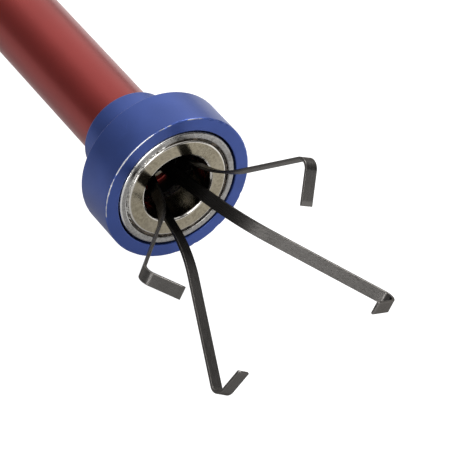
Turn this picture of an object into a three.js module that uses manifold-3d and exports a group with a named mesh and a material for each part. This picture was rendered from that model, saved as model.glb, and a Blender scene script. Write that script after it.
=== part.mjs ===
// Magnetic claw pick-up tool, in millimetres, +Z up.
//
// The tool lies along Y with its head towards -Y. Places along it are given as s, the distance
// behind the front face of the head, so s grows towards the handle and the fingers reach out to
// negative s. The claw is drawn extended, which is how it stands with the button pressed in.
import * as THREE from 'three';
import { mergeVertices } from 'three/addons/utils/BufferGeometryUtils.js';
import Module from 'manifold-3d';

const wasm = await Module();
wasm.setup();

// ---------------------------------------------------------------- clearances
const seatGap = 0.1; // between two faces that seat on each other
const slipFit = 0.1; // radial gap of a piece that is pushed or glued into a bore
const runFit = 0.2; // radial gap of a piece that slides
const stopGap = 0.3; // between a moving piece and its stop
const rootGap = 0.3; // between a finger and the clamped root that it bends from

// ---------------------------------------------------------------- head and magnet
const headRadius = 10;
const headFrontLength = 6.4;
const headEdge = 0.35;
const collarRadius = 6.05;
const collarLength = 6.7;
const collarEdge = 0.4;
const webThickness = 1.8;
const potRadius = 8.05;
const potRim = 0.9;
const potBase = 0.9;
const potGap = 0.2;
const grooveWidth = 0.35;
const magnetThickness = 4.3;
const magnetEdge = 0.25;
const holeRadius = 4.6;

// ---------------------------------------------------------------- tube and rod
const tubeRadius = 5;
const tubeWall = 0.75;
const rodRadius = 1.2;
const guideLength = 6;
const guideCount = 3;

// ---------------------------------------------------------------- claw
const stripWidth = 1.7;
const stripThickness = 0.35;
const rootRadius = 1.5; // from the axis to the middle of a strip where it is clamped
const hingeDepth = 6; // behind the head's face, where the strips start to bend
const clampedLength = 8;
const ferruleWall = 0.55;
const ferruleOverhang = 1;
const flareLength = 9; // the strip's first stretch, where its slope goes from root to middle
const bowLength = 8; // the second stretch, where it goes from middle to tip
const hookBend = 1.3; // radius at the middle of the strip where the hook is bent
// Angles are in degrees. "turn" is the finger's place round the axis, counted from +Z towards -X.
// The slopes lean out from the tool's axis, and the hook leans back in.
const fingers = [
  { turn: -26.4, rootSlope: 24.4, middleSlope: 16.7, tipSlope: 39.6, hookSlope: -64, tipLength: 11.1, hookLength: 4.2 },
  { turn: 62, rootSlope: 23.7, middleSlope: 18.2, tipSlope: 40.2, hookSlope: -51.5, tipLength: 15.6, hookLength: 3.9 },
  { turn: 147.5, rootSlope: 23.4, middleSlope: 8.4, tipSlope: 30.7, hookSlope: -77.5, tipLength: 14.5, hookLength: 3.3 },
  { turn: 239.8, rootSlope: 18.1, middleSlope: 24.6, tipSlope: 44.6, hookSlope: -71.3, tipLength: 15.4, hookLength: 3.3 },
];

// ---------------------------------------------------------------- handle
const handleStart = 318;
const noseLength = 16;
const noseTaper = 7;
const noseFrontRadius = 6.3;
const noseRadius = 8.6;
const barrelRadius = 9.5;
const barrelFrontBand = 8;
const socketDepth = 18;
const barrelWeb = 5;
const waistRadius = 8;
const waistLength = 46;
const gripThickness = 1.8;
const gripRibs = 5;
const gripRibDepth = 0.5;
const bossRadius = 7.6;
const chamberRadius = 6.4;
const handleEdge = 0.5;
const flangeHalfWidth = 23;
const flangeHalfHeight = 14.8;
const flangeThickness = 4;
const flangeCorner = 9;
const nutRadius = 10.5;
const nutLength = 5;
const capPlugLength = 7;
const capRadius = 8.6;
const capLength = 5;

// ---------------------------------------------------------------- plunger
const stroke = 12;
const stemRadius = 3;
const stemFrontLength = 13; // stem ahead of the collar, round the end of the rod
const rodSocketDepth = 10;
const neckRadius = 2.2;
const neckLength = 5;
const seatThickness = 1;
const springWire = 1.2;
const springTurns = 7;
const springLength = 30;
const collarThickness = 4;
const buttonRadius = 8;
const buttonLength = 7;
const buttonGrooves = 3;
const buttonGrooveDepth = 0.4;
const bumperSection = 1.7;
const bumperDepth = 1.6;

// ---------------------------------------------------------------- small fasteners
const noseScrewRadius = 1.5;
const noseScrewCount = 2;
const noseScrewSink = 0.4;
const collarScrewRadius = 1;
const stemPinRadius = 0.8;

// ---------------------------------------------------------------- facets
const headSides = 48;
const tubeSides = 40;
const handleSides = 36;
const smallSides = 20;
const springSides = 6;
const springStepsPerTurn = 16;

// ---------------------------------------------------------------- places worked out from the above
const tubeInner = tubeRadius - tubeWall;
const potInner = potRadius - potRim;
const magnetRadius = potInner - grooveWidth;
const potDepth = magnetThickness + seatGap + potBase;
const counterboreDepth = potDepth + seatGap;
const headLength = headFrontLength + collarLength;
const webRear = counterboreDepth + webThickness;
const tubeFront = webRear + seatGap;
const stripOuter = Math.hypot(rootRadius + stripThickness / 2, stripWidth / 2);
const ferruleInner = stripOuter + runFit;
const ferruleRadius = ferruleInner + ferruleWall;
const ferruleFront = hingeDepth + rootGap;
const ferruleRear = ferruleFront + clampedLength + ferruleOverhang;
const barrelStart = handleStart + noseLength + seatGap;
const tubeRear = barrelStart + socketDepth;
const chamberFront = tubeRear + seatGap + barrelWeb;
const waistFront = barrelStart + barrelFrontBand;
const waistRear = waistFront + waistLength;
const springFront = chamberFront + seatGap + seatThickness + seatGap;
const collarFront = springFront + springLength + seatGap;
const collarRear = collarFront + collarThickness;
const plugFront = collarRear + stroke + stopGap;
const barrelRear = plugFront + capPlugLength;
const nutRear = barrelRear;
const nutFront = nutRear - nutLength;
const flangeFront = nutFront - seatGap - flangeThickness;
const bossFront = flangeFront - seatGap;
const capFront = barrelRear + seatGap;
const capRear = capFront + capLength;
const buttonFront = capRear + stopGap;
const buttonRear = buttonFront + buttonLength;
const stemFront = collarFront - stemFrontLength;
const rodRear = stemFront + rodSocketDepth - seatGap;
const noseScrewPlace = handleStart + (noseTaper + noseLength) / 2;

// ---------------------------------------------------------------- materials
function paint(color, roughness, metalness) {
  return new THREE.MeshStandardMaterial({ color, roughness, metalness });
}

const redMetal = paint(0x93403e, 0.35, 0.6);
const blueMetal = paint(0x3f4f86, 0.45, 0.4);
const blackSteel = paint(0x35322f, 0.4, 0.8);
const paleSteel = paint(0x9c9b97, 0.35, 0.9);
const nickel = paint(0x968e7a, 0.4, 0.9);
const blackRubber = paint(0x1d1d1e, 0.85, 0);
const nylon = paint(0xd9d6cc, 0.6, 0);
const brass = paint(0xb08d4a, 0.4, 0.9);

// ---------------------------------------------------------------- geometry helpers
function withoutSlivers(geometry) {
  const old = geometry.index.array;
  const kept = [];
  for (let i = 0; i < old.length; i += 3) {
    const [a, b, c] = [old[i], old[i + 1], old[i + 2]];
    if (a !== b && b !== c && c !== a) {
      kept.push(a, b, c);
    }
  }
  geometry.setIndex(kept);
  return geometry;
}

function signedVolume(geometry) {
  const place = geometry.attributes.position;
  const index = geometry.index.array;
  const [a, b, c] = [new THREE.Vector3(), new THREE.Vector3(), new THREE.Vector3()];
  let volume = 0;
  for (let i = 0; i < index.length; i += 3) {
    a.fromBufferAttribute(place, index[i]);
    b.fromBufferAttribute(place, index[i + 1]);
    c.fromBufferAttribute(place, index[i + 2]);
    volume += a.dot(b.cross(c)) / 6;
  }
  return volume;
}

// One closed solid with shared vertices and its faces pointing out.
function solid(geometry) {
  geometry.deleteAttribute('normal');
  geometry.deleteAttribute('uv');
  const welded = withoutSlivers(mergeVertices(geometry, 1e-4));
  if (signedVolume(welded) < 0) {
    const index = welded.index.array;
    for (let i = 0; i < index.length; i += 3) {
      [index[i], index[i + 1]] = [index[i + 1], index[i]];
    }
  }
  return welded;
}

// A turned piece. Its outline is a list of [radius, s] points that closes on itself.
function turned(outline, sides) {
  const points = [...outline, outline[0]].map(([radius, s]) => new THREE.Vector2(radius, s));
  return solid(new THREE.LatheGeometry(points, sides));
}

function ring(inner, outer, front, rear, sides) {
  return turned([[inner, front], [outer, front], [outer, rear], [inner, rear]], sides);
}

// A solid turned piece, whose outline starts and ends on the axis.
function turnedBar(outline, sides) {
  const points = outline.map(([radius, s]) => new THREE.Vector2(radius, s));
  return solid(new THREE.LatheGeometry(points, sides));
}

function toManifold(geometry) {
  const mesh = new wasm.Mesh({
    numProp: 3,
    vertProperties: new Float32Array(geometry.attributes.position.array),
    triVerts: new Uint32Array(geometry.index.array),
  });
  return new wasm.Manifold(mesh);
}

function cut(geometry, cutters) {
  let body = toManifold(geometry);
  for (const cutter of cutters) {
    body = body.subtract(toManifold(cutter));
  }
  const mesh = body.getMesh();
  const result = new THREE.BufferGeometry();
  result.setAttribute('position', new THREE.BufferAttribute(mesh.vertProperties, 3));
  result.setIndex(new THREE.BufferAttribute(mesh.triVerts, 1));
  return solid(result);
}

// A round bar square to the axis. It runs from one distance to another along the direction
// that lies at "turn" degrees from +Z towards -X.
function crossBar(radius, from, to, turn, s) {
  const bar = new THREE.CylinderGeometry(radius, radius, to - from, smallSides);
  bar.rotateX(Math.PI / 2);
  bar.translate(0, 0, (from + to) / 2);
  bar.rotateY(-THREE.MathUtils.degToRad(turn));
  bar.translate(0, s, 0);
  return solid(bar);
}

// ---------------------------------------------------------------- head
function headShell() {
  return turned([
    [potRadius + potGap, 0],
    [headRadius - headEdge, 0],
    [headRadius, headEdge],
    [headRadius, headFrontLength - headEdge],
    [headRadius - headEdge, headFrontLength],
    [collarRadius + collarEdge, headFrontLength],
    [collarRadius, headFrontLength + collarEdge],
    [collarRadius, headLength - collarEdge],
    [collarRadius - collarEdge, headLength],
    [tubeRadius + slipFit, headLength],
    [tubeRadius + slipFit, webRear],
    [holeRadius, webRear],
    [holeRadius, counterboreDepth],
    [potRadius + potGap, counterboreDepth],
  ], headSides);
}

function magnetPot() {
  const baseFront = magnetThickness + seatGap;
  return turned([
    [potInner, 0],
    [potRadius - magnetEdge, 0],
    [potRadius, magnetEdge],
    [potRadius, potDepth],
    [holeRadius, potDepth],
    [holeRadius, baseFront],
    [potInner, baseFront],
  ], headSides);
}

function ringMagnet() {
  return turned([
    [holeRadius + magnetEdge, 0],
    [magnetRadius - magnetEdge, 0],
    [magnetRadius, magnetEdge],
    [magnetRadius, magnetThickness],
    [holeRadius, magnetThickness],
    [holeRadius, magnetEdge],
  ], headSides);
}

// ---------------------------------------------------------------- claw
// The middle line of a finger as [distance from the axis, distance ahead of the head's face].
function fingerLine(finger) {
  const stretches = [
    { length: flareLength, from: finger.rootSlope, to: finger.middleSlope, steps: 4 },
    { length: bowLength, from: finger.middleSlope, to: finger.tipSlope, steps: 6 },
    { length: finger.tipLength, from: finger.tipSlope, to: finger.tipSlope, steps: 1 },
    {
      length: THREE.MathUtils.degToRad(finger.tipSlope - finger.hookSlope) * hookBend,
      from: finger.tipSlope,
      to: finger.hookSlope,
      steps: 10,
    },
    { length: finger.hookLength, from: finger.hookSlope, to: finger.hookSlope, steps: 1 },
  ];
  const line = [new THREE.Vector2(rootRadius, -hingeDepth)];
  for (const { length, from, to, steps } of stretches) {
    for (let i = 0; i < steps; i += 1) {
      const slope = THREE.MathUtils.degToRad(from + ((to - from) * (i + 0.5)) / steps);
      const step = new THREE.Vector2(Math.sin(slope), Math.cos(slope));
      line.push(line.at(-1).clone().addScaledVector(step, length / steps));
    }
  }
  return line;
}

// The two sides of a strip, half its thickness away from its middle line.
function stripOutline(line) {
  const left = [];
  const right = [];
  line.forEach((point, i) => {
    const before = line[Math.max(i - 1, 0)];
    const after = line[Math.min(i + 1, line.length - 1)];
    const along = after.clone().sub(before).normalize();
    const side = new THREE.Vector2(-along.y, along.x).multiplyScalar(stripThickness / 2);
    left.push(point.clone().add(side));
    right.unshift(point.clone().sub(side));
  });
  return new THREE.Shape([...left, ...right]);
}

// Places a strip drawn as (distance from the axis, distance ahead of the face) round the axis.
function fingerFrame(turn) {
  const angle = THREE.MathUtils.degToRad(turn);
  const outwards = new THREE.Vector3(-Math.sin(angle), 0, Math.cos(angle));
  const forwards = new THREE.Vector3(0, -1, 0);
  const across = new THREE.Vector3().crossVectors(outwards, forwards);
  return new THREE.Matrix4().makeBasis(outwards, forwards, across);
}

function strip(line, turn) {
  const geometry = new THREE.ExtrudeGeometry(stripOutline(line), {
    depth: stripWidth,
    bevelEnabled: false,
  });
  geometry.translate(0, 0, -stripWidth / 2);
  geometry.applyMatrix4(fingerFrame(turn));
  return solid(geometry);
}

function fingerRoot(turn) {
  const rear = new THREE.Vector2(rootRadius, -ferruleFront - clampedLength);
  const front = new THREE.Vector2(rootRadius, -ferruleFront);
  return strip([rear, front], turn);
}

function clawFerrule() {
  return ring(ferruleInner, ferruleRadius, ferruleFront, ferruleRear, smallSides * 2);
}

// ---------------------------------------------------------------- tube and rod
function rodGuide(number) {
  const firstFront = ferruleRear + stroke + guideLength / 2;
  const lastFront = tubeRear - guideLength * 2;
  const front = firstFront + ((lastFront - firstFront) * number) / (guideCount - 1);
  return ring(rodRadius + runFit, tubeInner - slipFit, front, front + guideLength, smallSides);
}

function pushRod() {
  const front = ferruleFront + rootGap;
  const rod = turnedBar([[0, front], [rodRadius, front], [rodRadius, rodRear], [0, rodRear]], smallSides);
  return cut(rod, [crossBar(stemPinRadius + seatGap, -rodRadius * 2, rodRadius * 2, 0, stemPinPlace())]);
}

// ---------------------------------------------------------------- handle
function noseScrewTurn(number) {
  return 90 + (360 * number) / noseScrewCount;
}

function handleNose() {
  const rear = handleStart + noseLength;
  const bore = tubeRadius + slipFit;
  const body = turned([
    [bore, handleStart],
    [noseFrontRadius, handleStart],
    [noseRadius, handleStart + noseTaper],
    [noseRadius, rear],
    [bore, rear],
  ], handleSides);
  const holes = [];
  for (let i = 0; i < noseScrewCount; i += 1) {
    const turn = noseScrewTurn(i);
    holes.push(crossBar(noseScrewRadius + slipFit, bore / 2, noseRadius * 2, turn, noseScrewPlace));
  }
  return cut(body, holes);
}

function noseScrew(number) {
  const from = tubeRadius + runFit;
  const to = noseRadius - noseScrewSink;
  return crossBar(noseScrewRadius, from, to, noseScrewTurn(number), noseScrewPlace);
}

function handleBarrel() {
  return turned([
    [tubeRadius + slipFit, barrelStart],
    [noseRadius, barrelStart],
    [barrelRadius, barrelStart + handleEdge],
    [barrelRadius, waistFront],
    [waistRadius, waistFront],
    [waistRadius, waistRear],
    [barrelRadius, waistRear],
    [barrelRadius, bossFront],
    [bossRadius, bossFront],
    [bossRadius, barrelRear],
    [chamberRadius, barrelRear],
    [chamberRadius, chamberFront],
    [rodRadius + runFit, chamberFront],
    [rodRadius + runFit, tubeRear + seatGap],
    [tubeRadius + slipFit, tubeRear + seatGap],
  ], handleSides);
}

function gripSleeve() {
  const front = waistFront + seatGap;
  const rear = waistRear - seatGap;
  const inner = waistRadius + slipFit;
  const outer = inner + gripThickness;
  const pitch = (rear - front) / gripRibs;
  const outline = [[inner, front]];
  for (let i = 0; i < gripRibs; i += 1) {
    const start = front + pitch * i;
    outline.push([outer - gripRibDepth, start]);
    outline.push([outer, start + pitch * 0.25]);
    outline.push([outer, start + pitch * 0.75]);
  }
  outline.push([outer - gripRibDepth, rear]);
  outline.push([inner, rear]);
  return turned(outline, handleSides);
}

function flangeOutline() {
  const [w, h, c] = [flangeHalfWidth, flangeHalfHeight, flangeCorner];
  const shape = new THREE.Shape();
  shape.moveTo(-w + c, -h);
  shape.lineTo(w - c, -h);
  shape.absarc(w - c, -h + c, c, -Math.PI / 2, 0, false);
  shape.absarc(w - c, h - c, c, 0, Math.PI / 2, false);
  shape.absarc(-w + c, h - c, c, Math.PI / 2, Math.PI, false);
  shape.absarc(-w + c, -h + c, c, Math.PI, Math.PI * 1.5, false);
  return shape;
}

function fingerFlange() {
  const shape = flangeOutline();
  const hole = new THREE.Path();
  hole.absarc(0, 0, bossRadius + slipFit, 0, Math.PI * 2, true);
  shape.holes.push(hole);
  const geometry = new THREE.ExtrudeGeometry(shape, {
    depth: flangeThickness,
    bevelEnabled: false,
    curveSegments: 10,
  });
  geometry.rotateX(-Math.PI / 2);
  geometry.translate(0, flangeFront, 0);
  return solid(geometry);
}

function flangeNut() {
  return turned([
    [bossRadius + slipFit, nutFront],
    [nutRadius - handleEdge, nutFront],
    [nutRadius, nutFront + handleEdge],
    [nutRadius, nutRear - handleEdge],
    [nutRadius - handleEdge, nutRear],
    [bossRadius + slipFit, nutRear],
  ], handleSides);
}

function endCap() {
  const bore = stemRadius + runFit;
  const seatRadius = bore + bumperSection + slipFit * 3;
  return turned([
    [bore, plugFront],
    [chamberRadius - slipFit, plugFront],
    [chamberRadius - slipFit, capFront],
    [capRadius, capFront],
    [capRadius, capRear - handleEdge],
    [capRadius - handleEdge, capRear],
    [seatRadius, capRear],
    [seatRadius, capRear - bumperDepth],
    [bore, capRear - bumperDepth],
  ], handleSides);
}

function bumperRing() {
  const half = bumperSection / 2;
  const middle = stemRadius + runFit + slipFit + half;
  const s = capRear - bumperDepth + seatGap + half;
  const outline = [];
  for (let i = 0; i < 8; i += 1) {
    const angle = (Math.PI * 2 * i) / 8;
    outline.push([middle + half * Math.cos(angle), s + half * Math.sin(angle)]);
  }
  return turned(outline, handleSides);
}

// ---------------------------------------------------------------- plunger
function springSeat() {
  const front = chamberFront + seatGap;
  return ring(rodRadius + runFit * 2, chamberRadius - runFit, front, front + seatThickness, smallSides * 2);
}

class Helix extends THREE.Curve {
  getPoint(t, target = new THREE.Vector3()) {
    const angle = Math.PI * 2 * springTurns * t;
    const radius = chamberRadius - runFit - springWire;
    const s = springFront + springWire / 2 + (springLength - springWire) * t;
    return target.set(radius * Math.cos(angle), s, radius * Math.sin(angle));
  }
}

function returnSpring() {
  const section = new THREE.Shape();
  section.absarc(0, 0, springWire / 2, 0, Math.PI * 2, false);
  return solid(new THREE.ExtrudeGeometry(section, {
    steps: springTurns * springStepsPerTurn,
    curveSegments: springSides / 2,
    extrudePath: new Helix(),
    bevelEnabled: false,
  }));
}

function collarScrewPlace() {
  return (collarFront + collarRear) / 2;
}

function plungerCollar() {
  const outer = chamberRadius - runFit;
  const bore = stemRadius + slipFit;
  const body = ring(bore, outer, collarFront, collarRear, smallSides * 2);
  return cut(body, [crossBar(collarScrewRadius + slipFit, bore / 2, outer * 2, 0, collarScrewPlace())]);
}

function collarScrew() {
  const outer = chamberRadius - runFit * 2;
  return crossBar(collarScrewRadius, stemRadius + runFit, outer, 0, collarScrewPlace());
}

function stemPinPlace() {
  return stemFront + rodSocketDepth / 2;
}

function plungerStem() {
  const socket = rodRadius + slipFit;
  const neckFront = buttonFront - seatGap;
  const body = turnedBar([
    [0, stemFront + rodSocketDepth],
    [socket, stemFront + rodSocketDepth],
    [socket, stemFront],
    [stemRadius, stemFront],
    [stemRadius, neckFront],
    [neckRadius, neckFront],
    [neckRadius, buttonFront + neckLength],
    [0, buttonFront + neckLength],
  ], smallSides);
  return cut(body, [crossBar(stemPinRadius + slipFit, -stemRadius * 2, stemRadius * 2, 0, stemPinPlace())]);
}

function stemPin() {
  const half = stemRadius - slipFit;
  return crossBar(stemPinRadius, -half, half, 0, stemPinPlace());
}

function thumbButton() {
  const bore = neckRadius + slipFit;
  const boreRear = buttonFront + neckLength + seatGap;
  const pitch = (buttonLength - handleEdge * 2) / buttonGrooves;
  const outline = [[0, boreRear], [bore, boreRear], [bore, buttonFront], [buttonRadius - handleEdge, buttonFront]];
  for (let i = 0; i < buttonGrooves; i += 1) {
    const start = buttonFront + handleEdge + pitch * i;
    outline.push([buttonRadius, start]);
    outline.push([buttonRadius, start + pitch * 0.7]);
    outline.push([buttonRadius - buttonGrooveDepth, start + pitch * 0.85]);
  }
  outline.push([buttonRadius, buttonRear - handleEdge]);
  outline.push([buttonRadius - handleEdge, buttonRear]);
  outline.push([0, buttonRear]);
  return turnedBar(outline, handleSides);
}

// ---------------------------------------------------------------- assembly
const tool = new THREE.Group();

function add(name, geometry, material) {
  const mesh = new THREE.Mesh(geometry, material);
  mesh.name = name;
  tool.add(mesh);
}

add('head_shell', headShell(), blueMetal);
add('magnet_pot', magnetPot(), paleSteel);
add('ring_magnet', ringMagnet(), nickel);
add('outer_tube', ring(tubeInner, tubeRadius, tubeFront, tubeRear, tubeSides), redMetal);
fingers.forEach((finger, i) => {
  add(`finger_${i + 1}`, strip(fingerLine(finger), finger.turn), blackSteel);
  add(`finger_root_${i + 1}`, fingerRoot(finger.turn), blackSteel);
});
add('claw_ferrule', clawFerrule(), blackSteel);
add('push_rod', pushRod(), paleSteel);
['front', 'middle', 'rear'].forEach((place, i) => {
  add(`rod_guide_${place}`, rodGuide(i), nylon);
});
add('handle_nose', handleNose(), blueMetal);
for (let i = 0; i < noseScrewCount; i += 1) {
  add(`nose_screw_${i + 1}`, noseScrew(i), blackSteel);
}
add('handle_barrel', handleBarrel(), blueMetal);
add('grip_sleeve', gripSleeve(), blackRubber);
add('finger_flange', fingerFlange(), blueMetal);
add('flange_nut', flangeNut(), paleSteel);
add('end_cap', endCap(), blueMetal);
add('bumper_ring', bumperRing(), blackRubber);
add('spring_seat', springSeat(), brass);
add('return_spring', returnSpring(), paleSteel);
add('plunger_collar', plungerCollar(), paleSteel);
add('collar_screw', collarScrew(), blackSteel);
add('plunger_stem', plungerStem(), paleSteel);
add('stem_pin', stemPin(), paleSteel);
add('thumb_button', thumbButton(), redMetal);

// The origin is under the middle of the tool, on the surface that the flange stands on.
const box = new THREE.Box3().setFromObject(tool);
tool.position.set(0, -(box.min.y + box.max.y) / 2, flangeHalfHeight);

export default tool;
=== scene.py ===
"""Claw and magnet pick-up tool, laid out as a Blender add-on and run as a script.

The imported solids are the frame. Each operator makes one piece, or one group of like pieces, in the
same place as its solid, with the finish of the real tool. Places along the tool are given as
distances behind the front face of the head, so they grow towards the thumb button.
"""

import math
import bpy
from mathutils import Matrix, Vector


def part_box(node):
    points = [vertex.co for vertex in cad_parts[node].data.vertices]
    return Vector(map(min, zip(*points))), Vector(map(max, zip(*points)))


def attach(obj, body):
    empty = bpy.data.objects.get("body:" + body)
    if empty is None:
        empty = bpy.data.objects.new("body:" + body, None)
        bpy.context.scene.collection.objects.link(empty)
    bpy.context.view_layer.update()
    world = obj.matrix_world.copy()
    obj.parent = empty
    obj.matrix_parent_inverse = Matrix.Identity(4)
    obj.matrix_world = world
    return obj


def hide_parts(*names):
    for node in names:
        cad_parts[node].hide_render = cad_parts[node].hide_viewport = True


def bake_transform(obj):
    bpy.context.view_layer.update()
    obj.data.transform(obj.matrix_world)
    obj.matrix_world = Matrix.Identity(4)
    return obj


bl_info = {
    "name": "Claw Pick-up Tool",
    "version": (1, 0, 0),
    "blender": (4, 5, 0),
    "location": "View3D > Sidebar > Claw Tool",
    "description": "Makes a claw and magnet pick-up tool and the studio that it lies in",
    "category": "Add Mesh",
}

import bmesh
import bpy
from bpy.props import FloatProperty, FloatVectorProperty, IntProperty, PointerProperty
from mathutils import Matrix, Vector, noise

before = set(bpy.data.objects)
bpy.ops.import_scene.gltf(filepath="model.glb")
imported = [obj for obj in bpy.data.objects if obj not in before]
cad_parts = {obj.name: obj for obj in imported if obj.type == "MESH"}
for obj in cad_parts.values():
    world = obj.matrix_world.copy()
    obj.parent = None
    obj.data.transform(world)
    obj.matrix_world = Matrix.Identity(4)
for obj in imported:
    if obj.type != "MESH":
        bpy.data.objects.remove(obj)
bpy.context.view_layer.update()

MM = 0.001
FULL_TURN = 2 * math.pi


# ------------------------------------------------------------------ places taken from the frame
def node_span(node):
    """Front and rear end of a node, as distances behind the head's front face."""
    low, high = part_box(node)
    return low[1] - HEAD_FACE, high[1] - HEAD_FACE


def node_radius(node):
    low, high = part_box(node)
    return (high[0] - low[0]) / 2


HEAD_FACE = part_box("head_shell")[0][1]
AXIS_HEIGHT = (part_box("head_shell")[0][2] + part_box("head_shell")[1][2]) / 2
HEAD_CENTRE = Vector((0.0, HEAD_FACE, AXIS_HEIGHT))


def length_value(name, description, default):
    return FloatProperty(
        name=name, description=description, default=default,
        min=0.0, subtype="DISTANCE", unit="LENGTH", precision=5,
    )


def angle_value(name, description, degrees):
    return FloatProperty(
        name=name, description=description, default=math.radians(degrees), subtype="ANGLE", unit="ROTATION"
    )


def colour_value(name, description, rgb):
    return FloatVectorProperty(
        name=name, description=description, default=rgb, size=3, min=0.0, max=1.0, subtype="COLOR"
    )


def share_value(name, description, default):
    return FloatProperty(
        name=name, description=description, default=default, min=0.0, max=1.0, subtype="FACTOR"
    )


# ------------------------------------------------------------------ what a user would change
class HeadSizes(bpy.types.PropertyGroup):
    """Sizes of the blue head, its magnet and the magnet's steel pot."""

    ring_length: length_value("Ring length", "Length of the head's wide front ring", 6.4 * MM)
    collar_radius: length_value("Collar radius", "Radius of the narrow collar behind the ring", 6.05 * MM)
    edge: length_value("Edge", "Rounding of the head's edges", 0.24 * MM)
    pot_gap: length_value("Pot gap", "Dark gap between the head and the magnet's pot", 0.2 * MM)
    pot_rim: length_value("Pot rim", "Thickness of the pot's rim", 0.9 * MM)
    hole_radius: length_value("Hole radius", "Radius of the hole that the fingers come out of", 4.6 * MM)


class ClawSizes(bpy.types.PropertyGroup):
    """Sizes of the four spring fingers."""

    strip_width: length_value("Strip width", "Width of a finger's spring strip", 1.7 * MM)
    strip_thickness: length_value("Strip thickness", "Thickness of a finger's spring strip", 0.35 * MM)
    clamp_radius: length_value("Clamp radius", "From the axis to a strip where it is clamped", 1.5 * MM)
    bend_depth: length_value("Bend depth", "Depth at which the strips start to bend", 6.0 * MM)
    hook_bend: length_value("Hook bend", "Radius of the bend before the hook", 1.3 * MM)


class HandleSizes(bpy.types.PropertyGroup):
    """Sizes of the handle and its details."""

    edge: length_value("Edge", "Rounding of the handle's edges", 0.4 * MM)
    tooth: length_value("Knurl tooth", "Height of a knurl tooth", 0.28 * MM)
    nub: length_value("Grip nub", "Radius of a nub on the rubber grip", 0.75 * MM)
    nub_rows: IntProperty(name="Nub rows", description="Rows of nubs along the grip", default=15, min=1)
    nubs_round: IntProperty(name="Nubs round", description="Nubs in one row", default=20, min=3)


class Finishes(bpy.types.PropertyGroup):
    """Colours of the finishes, and how worn they are."""

    tube_red: colour_value("Tube red", "Red of the tube and the button", (0.320, 0.031, 0.027))
    head_blue: colour_value("Head blue", "Blue of the head and the handle", (0.052, 0.098, 0.360))
    strip_black: colour_value("Strip black", "Black of the spring strips", (0.150, 0.143, 0.136))
    magnet_nickel: colour_value("Magnet nickel", "Warm grey of the magnet's plating", (0.42, 0.38, 0.30))
    bright_steel: colour_value("Bright steel", "Grey of bare steel", (0.42, 0.41, 0.395))
    wear: share_value("Wear", "How much of the edges is worn to bare metal", 0.5)


class StudioSettings(bpy.types.PropertyGroup):
    """The camera and the lights."""

    camera_turn: angle_value("Camera turn", "Camera's place round the tool", -29.90)
    camera_rise: angle_value("Camera rise", "Camera's height above the horizon", 38.447)
    camera_lens: FloatProperty(
        name="Lens", description="Focal length", default=280.0, min=1.0, unit="CAMERA"
    )
    surround: FloatProperty(
        name="Surround", description="Brightness of the pale surround", default=1.0, min=0.0
    )


# Angles in degrees. "turn" is a finger's place round the axis, counted from straight up towards the
# left of someone who looks along the tube from the button. The slopes lean out from the axis, the
# hook leans back in. "tip" is the straight length before the hook and "end" the hook's own length.
FINGER_KEYS = ("turn", "root", "middle", "tip_slope", "hook", "tip", "end")
FINGERS = tuple(
    dict(zip(FINGER_KEYS, values))
    for values in (
        (-26.4, 24.4, 16.7, 39.6, -64.0, 11.1 * MM, 4.2 * MM),
        (62.0, 23.7, 18.2, 40.2, -51.5, 15.6 * MM, 3.9 * MM),
        (147.5, 23.4, 8.4, 30.7, -77.5, 14.5 * MM, 3.3 * MM),
        (239.8, 18.1, 24.6, 44.6, -71.3, 15.4 * MM, 3.3 * MM),
    )
)
FLARE_LENGTH = 9.0 * MM
BOW_LENGTH = 8.0 * MM


def sizes(name):
    return getattr(bpy.context.scene, "claw_tool_" + name)


# ------------------------------------------------------------------ node trees
def feed(tree, socket, value):
    """Links a socket to another, or sets its own value."""
    if isinstance(value, bpy.types.NodeSocket):
        tree.links.new(value, socket)
    else:
        socket.default_value = value


def node(tree, kind, sockets=None, **settings):
    made = tree.nodes.new(kind)
    for name, value in settings.items():
        setattr(made, name, value)
    for name, value in (sockets or {}).items():
        feed(tree, made.inputs[name], value)
    return made


def maths(tree, operation, first, second=0.0, third=0.0):
    made = node(tree, "ShaderNodeMath", {0: first, 1: second, 2: third}, operation=operation)
    return made.outputs[0]


def product(tree, first, second):
    return maths(tree, "MULTIPLY", first, second)


def mix_colours(tree, share, first, second):
    made = node(tree, "ShaderNodeMix", data_type="RGBA")
    feed(tree, made.inputs[0], share)
    feed(tree, made.inputs[6], first if isinstance(first, bpy.types.NodeSocket) else (*first, 1.0))
    feed(tree, made.inputs[7], second if isinstance(second, bpy.types.NodeSocket) else (*second, 1.0))
    return made.outputs[2]


def remap(tree, value, low, high, to_low=0.0, to_high=1.0):
    sockets = {"Value": value, 1: low, 2: high, 3: to_low, 4: to_high}
    return node(tree, "ShaderNodeMapRange", sockets, interpolation_type="SMOOTHSTEP").outputs[0]


def noise_at(tree, place, scale, detail, **more):
    """The value of a noise texture."""
    sockets = {"Vector": place, "Scale": scale, "Detail": detail, **more}
    return node(tree, "ShaderNodeTexNoise", sockets).outputs["Fac"]


def stretched_place(tree, given):
    """The place multiplied by "Along" down the tool and by "Across" the other two ways."""
    across = given["Across"]
    scale = node(tree, "ShaderNodeCombineXYZ", {"X": across, "Y": given["Along"], "Z": across})
    made = node(tree, "ShaderNodeVectorMath", {0: given["Place"], 1: scale.outputs[0]}, operation="MULTIPLY")
    return made.outputs[0]


def shader_group(name, inputs, *outputs):
    """A new shader node group that takes a place and more inputs as {name: value}."""
    tree = bpy.data.node_groups.new(name, "ShaderNodeTree")
    tree.interface.new_socket("Place", in_out="INPUT", socket_type="NodeSocketVector")
    for label, default in inputs.items():
        made = tree.interface.new_socket(label, in_out="INPUT", socket_type="NodeSocketFloat")
        made.default_value = default
    for label in outputs:
        tree.interface.new_socket(label, in_out="OUTPUT", socket_type="NodeSocketFloat")
    return tree, tree.nodes.new("NodeGroupInput").outputs, tree.nodes.new("NodeGroupOutput").inputs


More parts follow.
